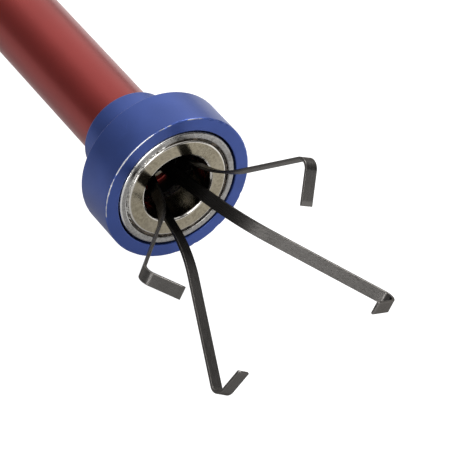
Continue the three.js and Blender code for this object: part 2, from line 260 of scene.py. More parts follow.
def use_group(tree, name, place, **values):
    """The outputs of a shared group at a place."""
    made = tree.nodes.new("ShaderNodeGroup")
    made.node_tree = bpy.data.node_groups[name]
    for label, value in {"Place": place, **values}.items():
        feed(tree, made.inputs[label], value)
    return made.outputs


def build_edge_wear_group():
    """Bare patches along the edges that a piece's "edge" attribute marks."""
    inputs = {"Edge": 0.0, "Amount": 0.5, "Scale": 900.0}
    tree, given, out = shader_group("edge wear", inputs, "Bare", "Rubbed")
    fine = noise_at(tree, given["Place"], given["Scale"], 4.0)
    coarse = noise_at(tree, given["Place"], product(tree, given["Scale"], 0.22), 2.0)
    uneven = maths(tree, "MULTIPLY_ADD", fine, 0.5, product(tree, coarse, 0.9))
    reach = maths(tree, "MULTIPLY_ADD", given["Amount"], 0.55, uneven)
    worn = product(tree, given["Edge"], reach)
    feed(tree, out["Bare"], remap(tree, worn, 0.80, 0.90))
    feed(tree, out["Rubbed"], remap(tree, worn, 0.35, 0.90))


def build_grain_group():
    """Fine grain stretched along one direction, as a value about 0.5."""
    inputs = {"Across": 4000.0, "Along": 4000.0, "Detail": 3.0}
    tree, given, out = shader_group("fine grain", inputs, "Grain")
    feed(tree, out["Grain"], noise_at(tree, stretched_place(tree, given), 1.0, given["Detail"]))


def build_speck_group():
    """Small separate chips or specks, as a mask."""
    tree, given, out = shader_group("specks", {"Scale": 500.0, "Share": 0.08, "Size": 0.22}, "Mask")
    cells = node(tree, "ShaderNodeTexVoronoi", {"Vector": given["Place"], "Scale": given["Scale"]})
    pick = node(tree, "ShaderNodeSeparateXYZ", {0: cells.outputs["Color"]})
    chosen = maths(tree, "LESS_THAN", pick.outputs["X"], given["Share"])
    size = product(tree, given["Size"], maths(tree, "ADD", pick.outputs["Y"], 0.4))
    inside = maths(tree, "LESS_THAN", cells.outputs["Distance"], size)
    feed(tree, out["Mask"], product(tree, chosen, inside))


def build_scratch_group():
    """Thin broken scratches that run mostly one way, as a mask."""
    inputs = {"Across": 1200.0, "Along": 90.0, "Share": 0.35}
    tree, given, out = shader_group("scratches", inputs, "Mask")
    bend = node(tree, "ShaderNodeTexNoise", {"Vector": given["Place"], "Scale": 160.0, "Detail": 1.0})
    sockets = {0: stretched_place(tree, given), 1: bend.outputs["Color"]}
    bent = node(tree, "ShaderNodeVectorMath", sockets, operation="ADD").outputs[0]
    lines = node(tree, "ShaderNodeTexVoronoi", {"Vector": bent, "Scale": 1.0}, feature="DISTANCE_TO_EDGE")
    thin = remap(tree, lines.outputs["Distance"], 0.0, 0.035, 1.0, 0.0)
    patch = noise_at(tree, given["Place"], 260.0, 2.0)
    limit = maths(tree, "SUBTRACT", 0.72, product(tree, given["Share"], 0.4))
    shown = remap(tree, patch, limit, maths(tree, "ADD", limit, 0.08))
    feed(tree, out["Mask"], product(tree, thin, shown))


def build_grime_group():
    """Soft patches of dirt and handling marks, as a mask."""
    tree, given, out = shader_group("grime", {"Scale": 120.0, "Amount": 0.5}, "Mask")
    cloud = noise_at(tree, given["Place"], given["Scale"], 6.0, Roughness=0.65)
    low = maths(tree, "SUBTRACT", 0.75, product(tree, given["Amount"], 0.5))
    feed(tree, out["Mask"], remap(tree, cloud, low, maths(tree, "ADD", low, 0.25)))


# ------------------------------------------------------------------ materials
class Finish:
    """A material under construction: its tree, its Principled shader and the place and edge sockets."""

    def __init__(self, name, colour, roughness, metallic=0.0):
        self.material = bpy.data.materials.new(name)
        self.material.use_nodes = True
        self.material.diffuse_color = (*colour, 1.0)
        self.tree = self.material.node_tree
        self.shader = self.tree.nodes["Principled BSDF"]
        self.link("Base Color", (*colour, 1.0))
        self.link("Roughness", roughness)
        self.link("Metallic", metallic)
        self.place = node(self.tree, "ShaderNodeTexCoord").outputs["Object"]
        edge = node(self.tree, "ShaderNodeAttribute", attribute_name="edge", attribute_type="GEOMETRY")
        self.edge = edge.outputs["Fac"]

    def link(self, socket, value):
        feed(self.tree, self.shader.inputs[socket], value)

    def bump(self, height, strength, distance):
        sockets = {"Height": height, "Strength": strength, "Distance": distance}
        made = node(self.tree, "ShaderNodeBump", sockets)
        self.link("Normal", made.outputs[0])

    def roughen(self, grain, gain, least, strength, distance):
        """Roughness and bump that both follow a grain."""
        self.link("Roughness", maths(self.tree, "MULTIPLY_ADD", grain, gain, least))
        self.bump(grain, strength, distance)

    def mix(self, share, first, second):
        return mix_colours(self.tree, share, first, second)

    def times(self, first, second):
        return product(self.tree, first, second)

    def span(self, value, *limits):
        return remap(self.tree, value, *limits)

    def grain(self, across, along=None, detail=3.0, place=None):
        values = {"Across": across, "Along": along or across, "Detail": detail}
        return use_group(self.tree, "fine grain", place or self.place, **values)["Grain"]

    def mask(self, group, **values):
        return use_group(self.tree, group, self.place, **values)["Mask"]

    def wear(self, amount, scale):
        return use_group(self.tree, "edge wear", self.place, Edge=self.edge, Amount=amount, Scale=scale)


# Painted shade for the inside of the head and of the tube near it.
BORE_SHADE = (0.012, 0.011, 0.010)
# Painted shade on the fingers near the head and inside it.
ROOT_SHADE = (0.016, 0.015, 0.014)
# Painted light: a brighter red for the lit patch inside the tube.
LIT_PATCH_RED = (0.48, 0.05, 0.04)


def scaled(colour, gain):
    return tuple(channel * gain for channel in colour)


def coated_metal(name, colour, bare, rough, wear, rubbed_gain=1.5, deep_gain=0.75):
    """Coloured coating on metal: a little cloudy, lighter where it is rubbed and bare along its edges."""
    made = Finish(name, colour, rough)
    cloud = noise_at(made.tree, made.place, 210.0, 5.0)
    grain = made.grain(5200.0)
    worn = made.wear(wear, 1500.0)
    scratch = made.mask("scratches", Across=900.0, Along=160.0, Share=0.25)
    speck = made.mask("specks", Scale=620.0, Share=0.05, Size=0.12)
    pale = tuple(min(channel * rubbed_gain + 0.015, 1.0) for channel in colour)
    coat = made.mix(made.span(cloud, 0.3, 0.7, 0.0, 0.5), colour, scaled(colour, deep_gain))
    for mask, share in ((worn["Rubbed"], 0.55), (scratch, 0.22), (speck, 0.5)):
        coat = made.mix(made.times(mask, share), coat, pale)
    made.link("Base Color", made.mix(worn["Bare"], coat, bare))
    made.link("Metallic", made.span(worn["Bare"], 0.0, 1.0, 0.8, 1.0))
    made.link("Roughness", maths(made.tree, "MULTIPLY_ADD", grain, 0.12, rough - 0.06))
    made.bump(maths(made.tree, "SUBTRACT", made.times(grain, 0.35), worn["Bare"]), 0.35, 0.02 * MM)
    made.link("Coat Weight", 0.25)
    made.link("Coat Roughness", 0.22)
    return made


def blacken_bore(made, radius, lit_turn=None):
    """Painted shade inside the head: black nearer the axis than the radius, apart from one patch painted
    brighter red as the lit inside of the tube.
    """
    tree = made.tree
    split = node(tree, "ShaderNodeSeparateXYZ", {0: made.place})
    across, up = split.outputs["X"], maths(tree, "SUBTRACT", split.outputs["Z"], AXIS_HEIGHT)
    away = maths(tree, "SQRT", maths(tree, "ADD", made.times(across, across), made.times(up, up)))
    near_head = made.span(split.outputs["Y"], HEAD_FACE + 40 * MM, HEAD_FACE + 60 * MM, 1.0, 0.0)
    inside = in_bore = made.times(near_head, made.span(away, radius, radius + 0.1 * MM, 1.0, 0.0))
    coat = made.shader.inputs["Base Color"].links[0].from_socket
    # Painted light: the patch facing this turn is painted brighter red, as lit, and left out of the painted
    # shade.
    if lit_turn is not None:
        turn = math.radians(lit_turn)
        toward = maths(tree, "ADD", made.times(across, -math.sin(turn)), made.times(up, math.cos(turn)))
        lit_patch = made.span(maths(tree, "DIVIDE", toward, away), 0.90, 0.96)
        inside = made.times(in_bore, maths(tree, "SUBTRACT", 1.0, lit_patch))
        coat = made.mix(made.times(lit_patch, in_bore), coat, LIT_PATCH_RED)
    # Painted shade: the rest of the bore is painted black.
    made.link("Base Color", made.mix(inside, coat, BORE_SHADE))


def blue_coating():
    colours = sizes("finishes")
    made = coated_metal("worn blue coating", tuple(colours.head_blue), (0.70, 0.69, 0.67), 0.42, colours.wear)
    # Painted shade inside the head.
    blacken_bore(made, node_radius("outer_tube") + 0.5 * MM)


def red_coating():
    red = tuple(sizes("finishes").tube_red)
    made = coated_metal("satin red tube", red, (0.60, 0.55, 0.52), 0.33, 0.2, 1.2, 0.88)
    made.link("Coat Weight", 0.35)
    # Painted shade inside the tube, with one painted lit patch.
    blacken_bore(made, node_radius("outer_tube") - 0.4 * MM, 190.0)


def black_steel(name, follows_strip):
    """Blackened steel with a drawn grain, paler along its edges and in worn patches; on the strips, painted
    shade near the head.
    """
    colour = tuple(sizes("finishes").strip_black)
    made = Finish(name, colour, 0.36, 1.0)
    tree = made.tree
    if follows_strip:
        drawn = made.grain(60.0, 0.8, 5.0, node(tree, "ShaderNodeUVMap", uv_map="strip").outputs[0])
    else:
        drawn = made.grain(3000.0, detail=5.0)
    patches = made.mask("grime", Scale=190.0, Amount=0.55)
    speck = made.mask("specks", Scale=420.0, Share=0.05, Size=0.16)
    coat = made.mix(made.times(patches, 0.6), colour, scaled(colour, 0.72))
    coat = made.mix(made.span(drawn, 0.45, 0.75, 0.0, 0.5), coat, scaled(colour, 1.22))
    coat = made.mix(made.times(made.wear(0.15, 1300.0)["Rubbed"], 0.3), coat, (0.30, 0.28, 0.26))
    coat = made.mix(made.times(speck, 0.8), coat, (0.55, 0.53, 0.50))
    # Painted shade: the strips are painted darker within about 11 mm of the head's face, and darkest inside
    # its hole.
    if follows_strip:
        along = node(tree, "ShaderNodeSeparateXYZ", {0: made.place}).outputs["Y"]
        middle = made.span(along, HEAD_FACE - 11 * MM, HEAD_FACE - 6.5 * MM, 0.0, 0.80)
        root = made.span(along, HEAD_FACE - 5 * MM, HEAD_FACE, 0.0, 0.95)
        coat = made.mix(maths(tree, "MAXIMUM", middle, root), coat, ROOT_SHADE)
    made.link("Base Color", coat)
    made.link("Specular Tint", (0.40, 0.39, 0.38, 1.0))
    made.link("Roughness", made.span(drawn, 0.2, 0.8, 0.22, 0.36))
    made.bump(drawn, 0.3, 0.015 * MM)


def magnet_plating():
    """Warm grey nickel with a sandy grain, bright along its chamfers, with smears of dirt."""
    colour = tuple(sizes("finishes").magnet_nickel)
    made = Finish("grainy nickel", colour, 0.36, 1.0)
    sand = made.grain(3400.0, detail=4.0)
    cloud = noise_at(made.tree, made.place, 420.0, 4.0)
    dirt = made.mask("grime", Scale=300.0, Amount=0.42)
    coat = made.mix(made.span(sand, 0.3, 0.7), (0.262, 0.231, 0.166), (0.39, 0.347, 0.255))
    coat = made.mix(made.span(cloud, 0.35, 0.7, 0.0, 0.45), coat, colour)
    coat = made.mix(made.times(dirt, 0.55), coat, (0.14, 0.115, 0.085))
    made.link("Base Color", made.mix(made.edge, coat, (0.86, 0.83, 0.78)))
    satin = maths(made.tree, "MULTIPLY_ADD", sand, 0.14, 0.10)
    made.link("Roughness", maths(made.tree, "MULTIPLY_ADD", made.edge, -0.04, satin))
    made.bump(sand, 0.45, 0.03 * MM)


def pot_steel():
    """Bare turned steel, with rough bright tool marks and brown dirt; its edges are bright, as a painted
    highlight on the pot's rim and as wear on the nut.
    """
    colour = tuple(sizes("finishes").bright_steel)
    made = Finish("turned steel", colour, 0.3, 1.0)
    grain = made.grain(2600.0, detail=5.0)
    dirt = made.mask("grime", Scale=420.0, Amount=0.5)
    coat = made.mix(made.span(grain, 0.35, 0.7), scaled(colour, 0.72), colour)
    coat = made.mix(made.times(dirt, 0.6), coat, (0.10, 0.08, 0.06))
    # The edge values paint bright steel: on the pot's rim mostly at the upper left, as a painted highlight;
    # on the knurled nut, along its worn edges.
    bright = made.span(made.edge, 0.1, 0.8)
    made.link("Base Color", made.mix(bright, coat, (0.86, 0.85, 0.82)))
    satin = maths(made.tree, "MULTIPLY_ADD", grain, 0.3, 0.14)
    made.link("Roughness", maths(made.tree, "MULTIPLY_ADD", bright, -0.08, satin))
    made.bump(grain, 0.5, 0.05 * MM)


def plain_steel():
    """Clean ground steel for the rod, the stem and the spring."""
    made = Finish("ground steel", (0.56, 0.56, 0.55), 0.3, 1.0)
    grain = made.grain(2200.0, 7000.0)
    scratch = made.mask("scratches", Across=800.0, Along=300.0, Share=0.4)
    coat = made.mix(made.span(grain, 0.3, 0.7), (0.42, 0.42, 0.42), (0.62, 0.62, 0.61))
    made.link("Base Color", made.mix(made.times(scratch, 0.4), coat, (0.75, 0.75, 0.74)))
    made.roughen(grain, 0.25, 0.16, 0.25, 0.02 * MM)


def dirty_glue():
    """Dark crumbly glue and dirt in the groove round the magnet, with bare bright metal at its burrs, which
    stand mostly at the upper left as a painted highlight.
    """
    made = Finish("grimy groove", (0.05, 0.042, 0.034), 0.6)
    lumps = made.grain(1500.0, detail=5.0)
    dirt = made.mix(made.span(lumps, 0.45, 0.7), (0.035, 0.028, 0.022), (0.20, 0.16, 0.12))
    # Painted highlight: bare bright metal where the edge value marks the burrs, mostly at the upper left.
    bare = made.span(made.edge, 0.35, 0.6)
    made.link("Base Color", made.mix(bare, dirt, (0.80, 0.79, 0.76)))
    made.link("Metallic", bare)
    made.roughen(lumps, 0.4, 0.12, 0.8, 0.12 * MM)


def black_rubber():
    """Moulded rubber, a little dusty, with a fine matt grain."""
    made = Finish("moulded rubber", (0.016, 0.016, 0.017), 0.62)
    grain = made.grain(2800.0)
    dust = made.mask("grime", Scale=150.0, Amount=0.5)
    made.link("Base Color", made.mix(made.times(dust, 0.5), (0.014, 0.014, 0.015), (0.045, 0.043, 0.040)))
    made.roughen(grain, 0.25, 0.5, 0.4, 0.04 * MM)


def pale_nylon():
    made = Finish("pale nylon", (0.62, 0.59, 0.52), 0.5)
    cloud = made.grain(700.0)
    made.link("Base Color", made.mix(cloud, (0.56, 0.53, 0.45), (0.68, 0.66, 0.60)))
    made.roughen(cloud, 0.2, 0.4, 0.2, 0.03 * MM)
    made.link("Subsurface Weight", 0.1)


def washer_brass():
    made = Finish("washer brass", (0.62, 0.44, 0.17), 0.3, 1.0)
    grain = made.grain(2400.0)
    made.link("Base Color", made.mix(grain, (0.48, 0.33, 0.12), (0.72, 0.54, 0.25)))
    made.roughen(grain, 0.25, 0.2, 0.25, 0.02 * MM)


def build_materials():
    for build_group in (
        build_edge_wear_group, build_grain_group, build_speck_group, build_scratch_group, build_grime_group
    ):
        build_group()
    black_steel("black spring steel", follows_strip=True)
    black_steel("black screw steel", follows_strip=False)
    for make in (
        blue_coating, red_coating, magnet_plating, pot_steel, plain_steel, dirty_glue, black_rubber,
        pale_nylon, washer_brass,
    ):
        make()


# ------------------------------------------------------------------ meshes
def in_scene(name, data):
    """A new object in the scene."""
    made = bpy.data.objects.new(name, data)
    bpy.context.scene.collection.objects.link(made)
    return made


def finish_piece(name, mesh, material, body, stands_for=()):
    """Adds a finished mesh as a piece of the tool that rides on a body."""
    if not mesh.materials:
        mesh.materials.append(bpy.data.materials[material])
    piece = in_scene(name, mesh)
    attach(piece, body)
    if stands_for:
        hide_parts(*stands_for)


def start_build():
    """A bmesh whose vertices carry an edge value, and the layer of that value."""
    build = bmesh.new()
    return build, build.verts.layers.float.new("edge")


def ring_of(build, edge_layer, spots, edge):
    ring = [build.verts.new(spot) for spot in spots]
    for vert in ring:
        vert[edge_layer] = edge
    return ring


def stitch(build, rings, closed=False):
    """Joins each ring of vertices to the next with faces, and the last to the first if closed."""
    for first, second in zip(rings, rings[1:] + rings[:1] if closed else rings[1:]):
        for k in range(len(first)):
            n = (k + 1) % len(first)
            corners = list(dict.fromkeys((first[k], first[n], second[n], second[k])))
            if len(corners) > 2:
                build.faces.new(corners)


def mesh_from(name, build, smooth_angle=40.0):
    """A mesh from bmesh, with smooth faces except across edges sharper than the angle."""
    mesh = bpy.data.meshes.new(name)
    bmesh.ops.recalc_face_normals(build, faces=build.faces)
    build.to_mesh(mesh)
    build.free()
    for face in mesh.polygons:
        face.use_smooth = True
    mesh.set_sharp_from_angle(angle=math.radians(smooth_angle))
    return mesh


ARC_STEPS = 8
SUPPORT = 0.07 * MM
ON_AXIS = 1e-7
FIT = 0.1 * MM


def rounded_outline(corners):
    """Turns [(radius, place, rounding, wear)] into points with round corners and an edge value.

    A point off the corner by the support distance keeps the wear and the shading close to the edge.
    """
    points = []
    count = len(corners)
    for i, (radius, place, rounding, wear) in enumerate(corners):
        here = Vector((radius, place))
        before = Vector(corners[i - 1][:2]) - here
        after = Vector(corners[(i + 1) % count][:2]) - here
        reach = min(rounding, before.length * 0.45, after.length * 0.45)
        if reach <= 0.0:
            points.append((here, 0.0))
            continue
        back, ahead = before.normalized(), after.normalized()
        turn = math.pi - back.angle(ahead)
        support_back = min(reach + SUPPORT, before.length * 0.49)
        support_ahead = min(reach + SUPPORT, after.length * 0.49)
        points.append((here + back * support_back, 0.0))
        for step in range(ARC_STEPS + 1):
            share = step / ARC_STEPS
            start, end = here + back * reach, here + ahead * reach
            weight = math.cos(turn / 2)
            a, b, c = (1 - share) ** 2, 2 * share * (1 - share) * weight, share**2
            spot = (start * a + here * b + end * c) / (a + b + c)
            points.append((spot, wear * math.sin(math.pi * share)))
        points.append((here + ahead * support_ahead, 0.0))
    return points


def divided(outline, closed):
    """Adds points on the outline's long straight stretches, close together near their ends.

    They keep the shading of an edge from reaching across the flat beside it.
    """
    points = []
    pairs = list(zip(outline, outline[1:] + outline[:1]))
    for i, ((here, edge), (following, _)) in enumerate(pairs):
        points.append((here, edge))
        if not closed and i == len(pairs) - 1:
            break
        run = (following - here).length
        if run < 1.2 * MM:
            continue
        way = (following - here) / run
        marks = [0.2 * MM, run - 0.2 * MM]
        pieces = min(6, int(run / MM))
        marks += [run * k / pieces for k in range(1, pieces)]
        points.extend((here + way * mark, 0.0) for mark in sorted(marks))
    return points


def turned(name, corners, sides, wear_round=None, dent=None, on_axis=False):
    """A piece turned round the tool's axis. Corners are (radius, place, rounding, wear)."""
    outline = rounded_outline(corners)
    if on_axis:
        outline = [(spot, edge) for spot, edge in outline if spot.x > ON_AXIS]
        outline = [(Vector((0.0, corners[0][1])), 0.0), *outline, (Vector((0.0, corners[-1][1])), 0.0)]
    build, edge_layer = start_build()
    rings = []
    for spot, edge in divided(outline, not on_axis):
        if spot.x < ON_AXIS:
            rings.append([build.verts.new(rod_place(0.0, 0.0, spot.y))] * sides)
            continue
        ring = []
        for k in range(sides):
            angle = FULL_TURN * k / sides
            radius, place = spot.x, spot.y
            if dent is not None and edge > 0.0:
                depth = dent(angle, place) * edge
                radius, place = radius - depth, place + depth
            vert = build.verts.new(rod_place(radius, angle, place))
            vert[edge_layer] = edge * (wear_round(angle, place) if wear_round else 1.0)
            ring.append(vert)
        rings.append(ring)
    stitch(build, rings, closed=not on_axis)
    return mesh_from(name, build)


def ragged(angle, place, scale, seed):
    """A smooth random number about 0 that depends only on the place round and along the tool."""
    spot = Vector((math.cos(angle) * scale, math.sin(angle) * scale, place / MM + seed))
    return noise.noise(spot)


def bump_in(angle, centre, spread):
    """1 at a place round the tool, falling to 0 at the spread on each side."""
    off = abs((angle - math.radians(centre) + math.pi) % FULL_TURN - math.pi)
    return max(0.0, 1.0 - (off / math.radians(spread)) ** 2)


def rod_place(radius, turn, place):
    """A point at a distance from the axis, at a turn round it and at a place along the tool."""
    return Vector((-radius * math.sin(turn), HEAD_FACE + place, AXIS_HEIGHT + radius * math.cos(turn)))


# ------------------------------------------------------------------ what repeats, by Geometry Nodes
def geometry_tree(name, **inputs):
    """A geometry tree that takes and gives a geometry, with more inputs as name=kind of socket."""
    tree = bpy.data.node_groups.new(name, "GeometryNodeTree")
    for label, kind in {"Geometry": "Geometry", **inputs}.items():
        tree.interface.new_socket(label, in_out="INPUT", socket_type="NodeSocket" + kind)
    tree.interface.new_socket("Geometry", in_out="OUTPUT", socket_type="NodeSocketGeometry")
    return tree, tree.nodes.new("NodeGroupInput").outputs, tree.nodes.new("NodeGroupOutput").inputs


def give_painted(tree, geometry, material, out):
    """Sends a tree's geometry out as real mesh in a material."""
    real = node(tree, "GeometryNodeRealizeInstances", {"Geometry": geometry})
    painted = node(tree, "GeometryNodeSetMaterial", {"Geometry": real.outputs[0], "Material": material})
    feed(tree, out[0], painted.outputs[0])


def build_stud_tree():
    """Copies of one stud turned about the tool's axis in rows, joined to the geometry that comes in."""
    tree, given, out = geometry_tree(
        "studs round a ring", Stud="Object", Front="Float", Length="Float", Around="Int", Rows="Int",
        Stagger="Float", Turn="Float", Height="Float", Material="Material",
    )
    points = node(tree, "GeometryNodePoints", {"Count": product(tree, given["Around"], given["Rows"])})
    index = node(tree, "GeometryNodeInputIndex").outputs[0]
    row = maths(tree, "FLOOR", maths(tree, "DIVIDE", maths(tree, "ADD", index, 0.5), given["Around"]))
    column = maths(tree, "SUBTRACT", index, product(tree, row, given["Around"]))
    shift = product(tree, given["Stagger"], maths(tree, "MODULO", row, 2.0))
    step = maths(tree, "DIVIDE", maths(tree, "ADD", column, shift), given["Around"])
    angle = maths(tree, "MULTIPLY_ADD", step, FULL_TURN, given["Turn"])
    share = maths(tree, "DIVIDE", maths(tree, "ADD", row, 0.5), given["Rows"])
    along = maths(tree, "MULTIPLY_ADD", share, given["Length"], given["Front"])
    place = node(tree, "ShaderNodeCombineXYZ", {"Y": along, "Z": given["Height"]}).outputs[0]
    placed = node(tree, "GeometryNodeSetPosition", {"Geometry": points.outputs[0], "Position": place})
    turn = node(tree, "ShaderNodeCombineXYZ", {"Y": angle})
    rotation = node(tree, "FunctionNodeEulerToRotation", {0: turn.outputs[0]}).outputs[0]
    stud = node(tree, "GeometryNodeObjectInfo", {"Object": given["Stud"]}, transform_space="ORIGINAL")
    sockets = {"Points": placed.outputs[0], "Instance": stud.outputs["Geometry"], "Rotation": rotation}
    copies = node(tree, "GeometryNodeInstanceOnPoints", sockets)
    both = node(tree, "GeometryNodeJoinGeometry")
    tree.links.new(copies.outputs[0], both.inputs[0])
    tree.links.new(given["Geometry"], both.inputs[0])
    give_painted(tree, both.outputs[0], given["Material"], out)
    return tree


def build_coil_tree():
    """A round-wire coil along the tool's axis."""
    tree, given, out = geometry_tree(
        "coil spring", Radius="Float", Turns="Float", Length="Float", Wire="Float", Front="Float",
        Height="Float", Material="Material",
    )
    sockets = {
        "Resolution": 40,
        "Rotations": given["Turns"],
        "Start Radius": given["Radius"],
        "End Radius": given["Radius"],
        "Height": given["Length"],
    }
    spiral = node(tree, "GeometryNodeCurveSpiral", sockets)
    wire = node(tree, "GeometryNodeCurvePrimitiveCircle", {"Resolution": 14, "Radius": given["Wire"]})
    sockets = {"Curve": spiral.outputs[0], "Profile Curve": wire.outputs[0], "Fill Caps": True}
    swept = node(tree, "GeometryNodeCurveToMesh", sockets)
    smooth = node(tree, "GeometryNodeSetShadeSmooth", {"Geometry": swept.outputs[0]})
    place = node(tree, "ShaderNodeCombineXYZ", {"Y": given["Front"], "Z": given["Height"]}).outputs[0]
    sockets = {"Geometry": smooth.outputs[0], "Translation": place, "Rotation": (-math.pi / 2, 0.0, 0.0)}
    laid = node(tree, "GeometryNodeTransform", sockets)
    give_painted(tree, laid.outputs[0], given["Material"], out)
    return tree


def baked(name, mesh, tree, values):
    """Runs a geometry tree over a mesh and gives the result as a plain mesh."""
    holder = in_scene(name, mesh)
    live = holder.modifiers.new(tree.name, "NODES")
    live.node_group = tree
    for item in tree.interface.items_tree:
        if item.in_out == "INPUT" and item.name in values:
            live[item.identifier] = values[item.name]
    bpy.context.view_layer.update()
    seen = holder.evaluated_get(bpy.context.evaluated_depsgraph_get())
    result = bpy.data.meshes.new_from_object(seen)
    holder.modifiers.remove(live)
    bpy.data.objects.remove(holder)
    if not result.vertices:
        raise RuntimeError("the tree '" + tree.name + "' made nothing for " + name)
    result.name = name
    return result


def with_studs(name, mesh, stud_mesh, material, **values):
    """A mesh with rows of a stud round it."""
    stud = in_scene(name + "_stud", stud_mesh)
    tree = bpy.data.node_groups.get("studs round a ring") or build_stud_tree()
    values = {"Stud": stud, "Height": AXIS_HEIGHT, "Material": bpy.data.materials[material], **values}
    result = baked(name, mesh, tree, values)
    bpy.data.objects.remove(stud)
    return result


def stud_from_rings(name, rings, sides, closed_below=False):
    """A small stud that points along +Z. Rings are (radius, height, edge value), and the last is closed."""
    build, edge_layer = start_build()
    ways = [(math.sin(FULL_TURN * k / sides), math.cos(FULL_TURN * k / sides)) for k in range(sides)]
    loops = [
        ring_of(build, edge_layer, [(radius * x, radius * y, height) for x, y in ways], edge)
        for radius, height, edge in rings
    ]
    stitch(build, loops)
    build.faces.new(loops[-1])
    if closed_below:
        build.faces.new(loops[0][::-1])
    return mesh_from(name, build, 35.0)


# ------------------------------------------------------------------ head and magnet
HOUSING = "housing"
PLUNGER = "plunger"


def head_wear_round(angle, place):
    """Most of the front edge's wear is at the upper left, where it is partly a painted highlight; the rear
    shoulder has a fine line all round.
    """
    if place > 1 * MM:
        return 0.84
    turn = math.degrees(angle)
    if turn > 180:
        turn -= 360
    solid = 1.0 - 0.3 * min(1.0, max(0.0, abs(turn - 50.0) - 40.0) / 10.0)
    dotted = 0.86 if -42.0 < turn < -8.0 else 0.70
    return max(solid, dotted)


def head_dent(angle, place):
    if place > 1 * MM:
        return 0.0
    return max(0.0, ragged(angle, place, 14.0, 3.0) - 0.15) * 0.16 * MM


def make_head_shell():
    head = sizes("head")
    front, rear = node_span("head_shell")
    outer = node_radius("head_shell")
    bore = node_radius("magnet_pot") + head.pot_gap
    pot_rear = node_span("magnet_pot")[1] + FIT
    tube_front = node_span("outer_tube")[0] - FIT
    socket = node_radius("outer_tube") + FIT
    corners = [
        (bore, front, 0.12 * MM, 0.5),
        (outer, front, head.edge, 1.0),
        (outer, head.ring_length, head.edge * 0.8, 1.0),
        (head.collar_radius, head.ring_length, 0.12 * MM, 0.0),
        (head.collar_radius, rear, 0.4 * MM, 0.0),
        (socket, rear, 0.1 * MM, 0.0),
        (socket, tube_front, 0.0, 0.0),
        (head.hole_radius, tube_front, 0.0, 0.0),
        (head.hole_radius, pot_rear, 0.0, 0.0),
        (bore, pot_rear, 0.0, 0.0),
    ]
    # The edge values carry the wear, and their upper-left part is partly a painted highlight.
    mesh = turned("blue_head", corners, 320, head_wear_round, head_dent)
    finish_piece("blue_head", mesh, "worn blue coating", HOUSING, ["head_shell"])


def pot_wear_round(angle, place):
    """The rim of the pot is painted bright at the upper left, as a highlight, and dull elsewhere."""
    return 0.12 + 0.88 * min(1.0, 2.2 * bump_in(angle, 58.0, 60.0))


def make_magnet_pot():
    head = sizes("head")
    front, rear = node_span("magnet_pot")
    outer = node_radius("magnet_pot")
    inner = outer - head.pot_rim
    base = node_span("ring_magnet")[1] + FIT
    corners = [
        (inner, front, 0.16 * MM, 1.0),
        (outer, front, 0.34 * MM, 1.0),
        (outer, rear, 0.1 * MM, 0.0),
        (head.hole_radius, rear, 0.0, 0.0),
        (head.hole_radius, base, 0.0, 0.0),
        (inner, base, 0.0, 0.0),
    ]
    # The rim's edge values carry the painted highlight at the upper left.
    mesh = turned("steel_pot", corners, 256, pot_wear_round)
    finish_piece("steel_pot", mesh, "turned steel", HOUSING, ["magnet_pot"])


def make_magnet_ring():
    head = sizes("head")
    front, rear = node_span("ring_magnet")
    outer = node_radius("ring_magnet")
    corners = [
        (head.hole_radius, front, 0.36 * MM, 1.0),
        (outer, front, 0.28 * MM, 1.0),
        (outer, rear, 0.1 * MM, 0.0),
        (head.hole_radius, rear, 0.12 * MM, 0.5),
    ]
    mesh = turned("magnet_ring", corners, 256)
    finish_piece("magnet_ring", mesh, "grainy nickel", HOUSING, ["ring_magnet"])


def burr_round(angle, share):
    """Where the bead in the groove is bare bright metal and not dirt: mostly at the upper left, as a painted
    highlight.
    """
    near = bump_in(angle, 60.0, 60.0)
    broken = 0.5 + 1.6 * ragged(angle, share, 22.0, 2.0)
    return max(0.0, min(1.0, near * 2.8 * broken))


def make_groove_dirt():
    """Crumbly dark bead in the groove between the magnet and the rim of its pot."""
    inner = node_radius("ring_magnet") + 0.01 * MM
    outer = node_radius("magnet_pot") - sizes("head").pot_rim - 0.01 * MM
    build = bmesh.new()
    edge_layer = build.verts.layers.float.new("edge")
    sides, steps = 400, 6
    rings = []
    for j in range(steps + 1):
        share = j / steps
        radius = inner + (outer - inner) * share
        ring = []
        for k in range(sides):
            angle = FULL_TURN * k / sides
            # The burr value both raises the bead and marks the bare metal at the upper left that is a painted
            # highlight.
            burr_and_highlight = burr_round(angle, share)
            lump = ragged(angle, share, 40.0, 9.0) * 0.10 * MM + ragged(angle, share, 12.0, 5.0) * 0.08 * MM
            depth = (0.34 - 0.22 * burr_and_highlight) * MM - lump - 0.06 * MM * math.sin(math.pi * share)
            vert = build.verts.new(rod_place(radius, angle, max(depth, 0.06 * MM)))
            vert[edge_layer] = burr_and_highlight
            ring.append(vert)
        rings.append(ring)
    for radius, depth in ((outer, 1.2 * MM), (inner, 1.2 * MM)):
        rings.append([build.verts.new(rod_place(radius, FULL_TURN * k / sides, depth)) for k in range(sides)])
    for first, second in zip(rings, rings[1:] + rings[:1]):
        for k in range(sides):
            build.faces.new([first[k], first[(k + 1) % sides], second[(k + 1) % sides], second[k]])
    mesh = mesh_from("groove_dirt", build)
    finish_piece("groove_dirt", mesh, "grimy groove", HOUSING)


def make_tube():
    front, rear = node_span("outer_tube")
    outer = node_radius("outer_tube")
    inner = outer - 0.75 * MM
    corners = [
        (inner, front, 0.08 * MM, 0.4),
        (outer, front, 0.1 * MM, 0.4),
        (outer, rear, 0.1 * MM, 0.4),
        (inner, rear, 0.08 * MM, 0.4),
    ]
    mesh = turned("red_tube", corners, 192)
    finish_piece("red_tube", mesh, "satin red tube", HOUSING, ["outer_tube"])


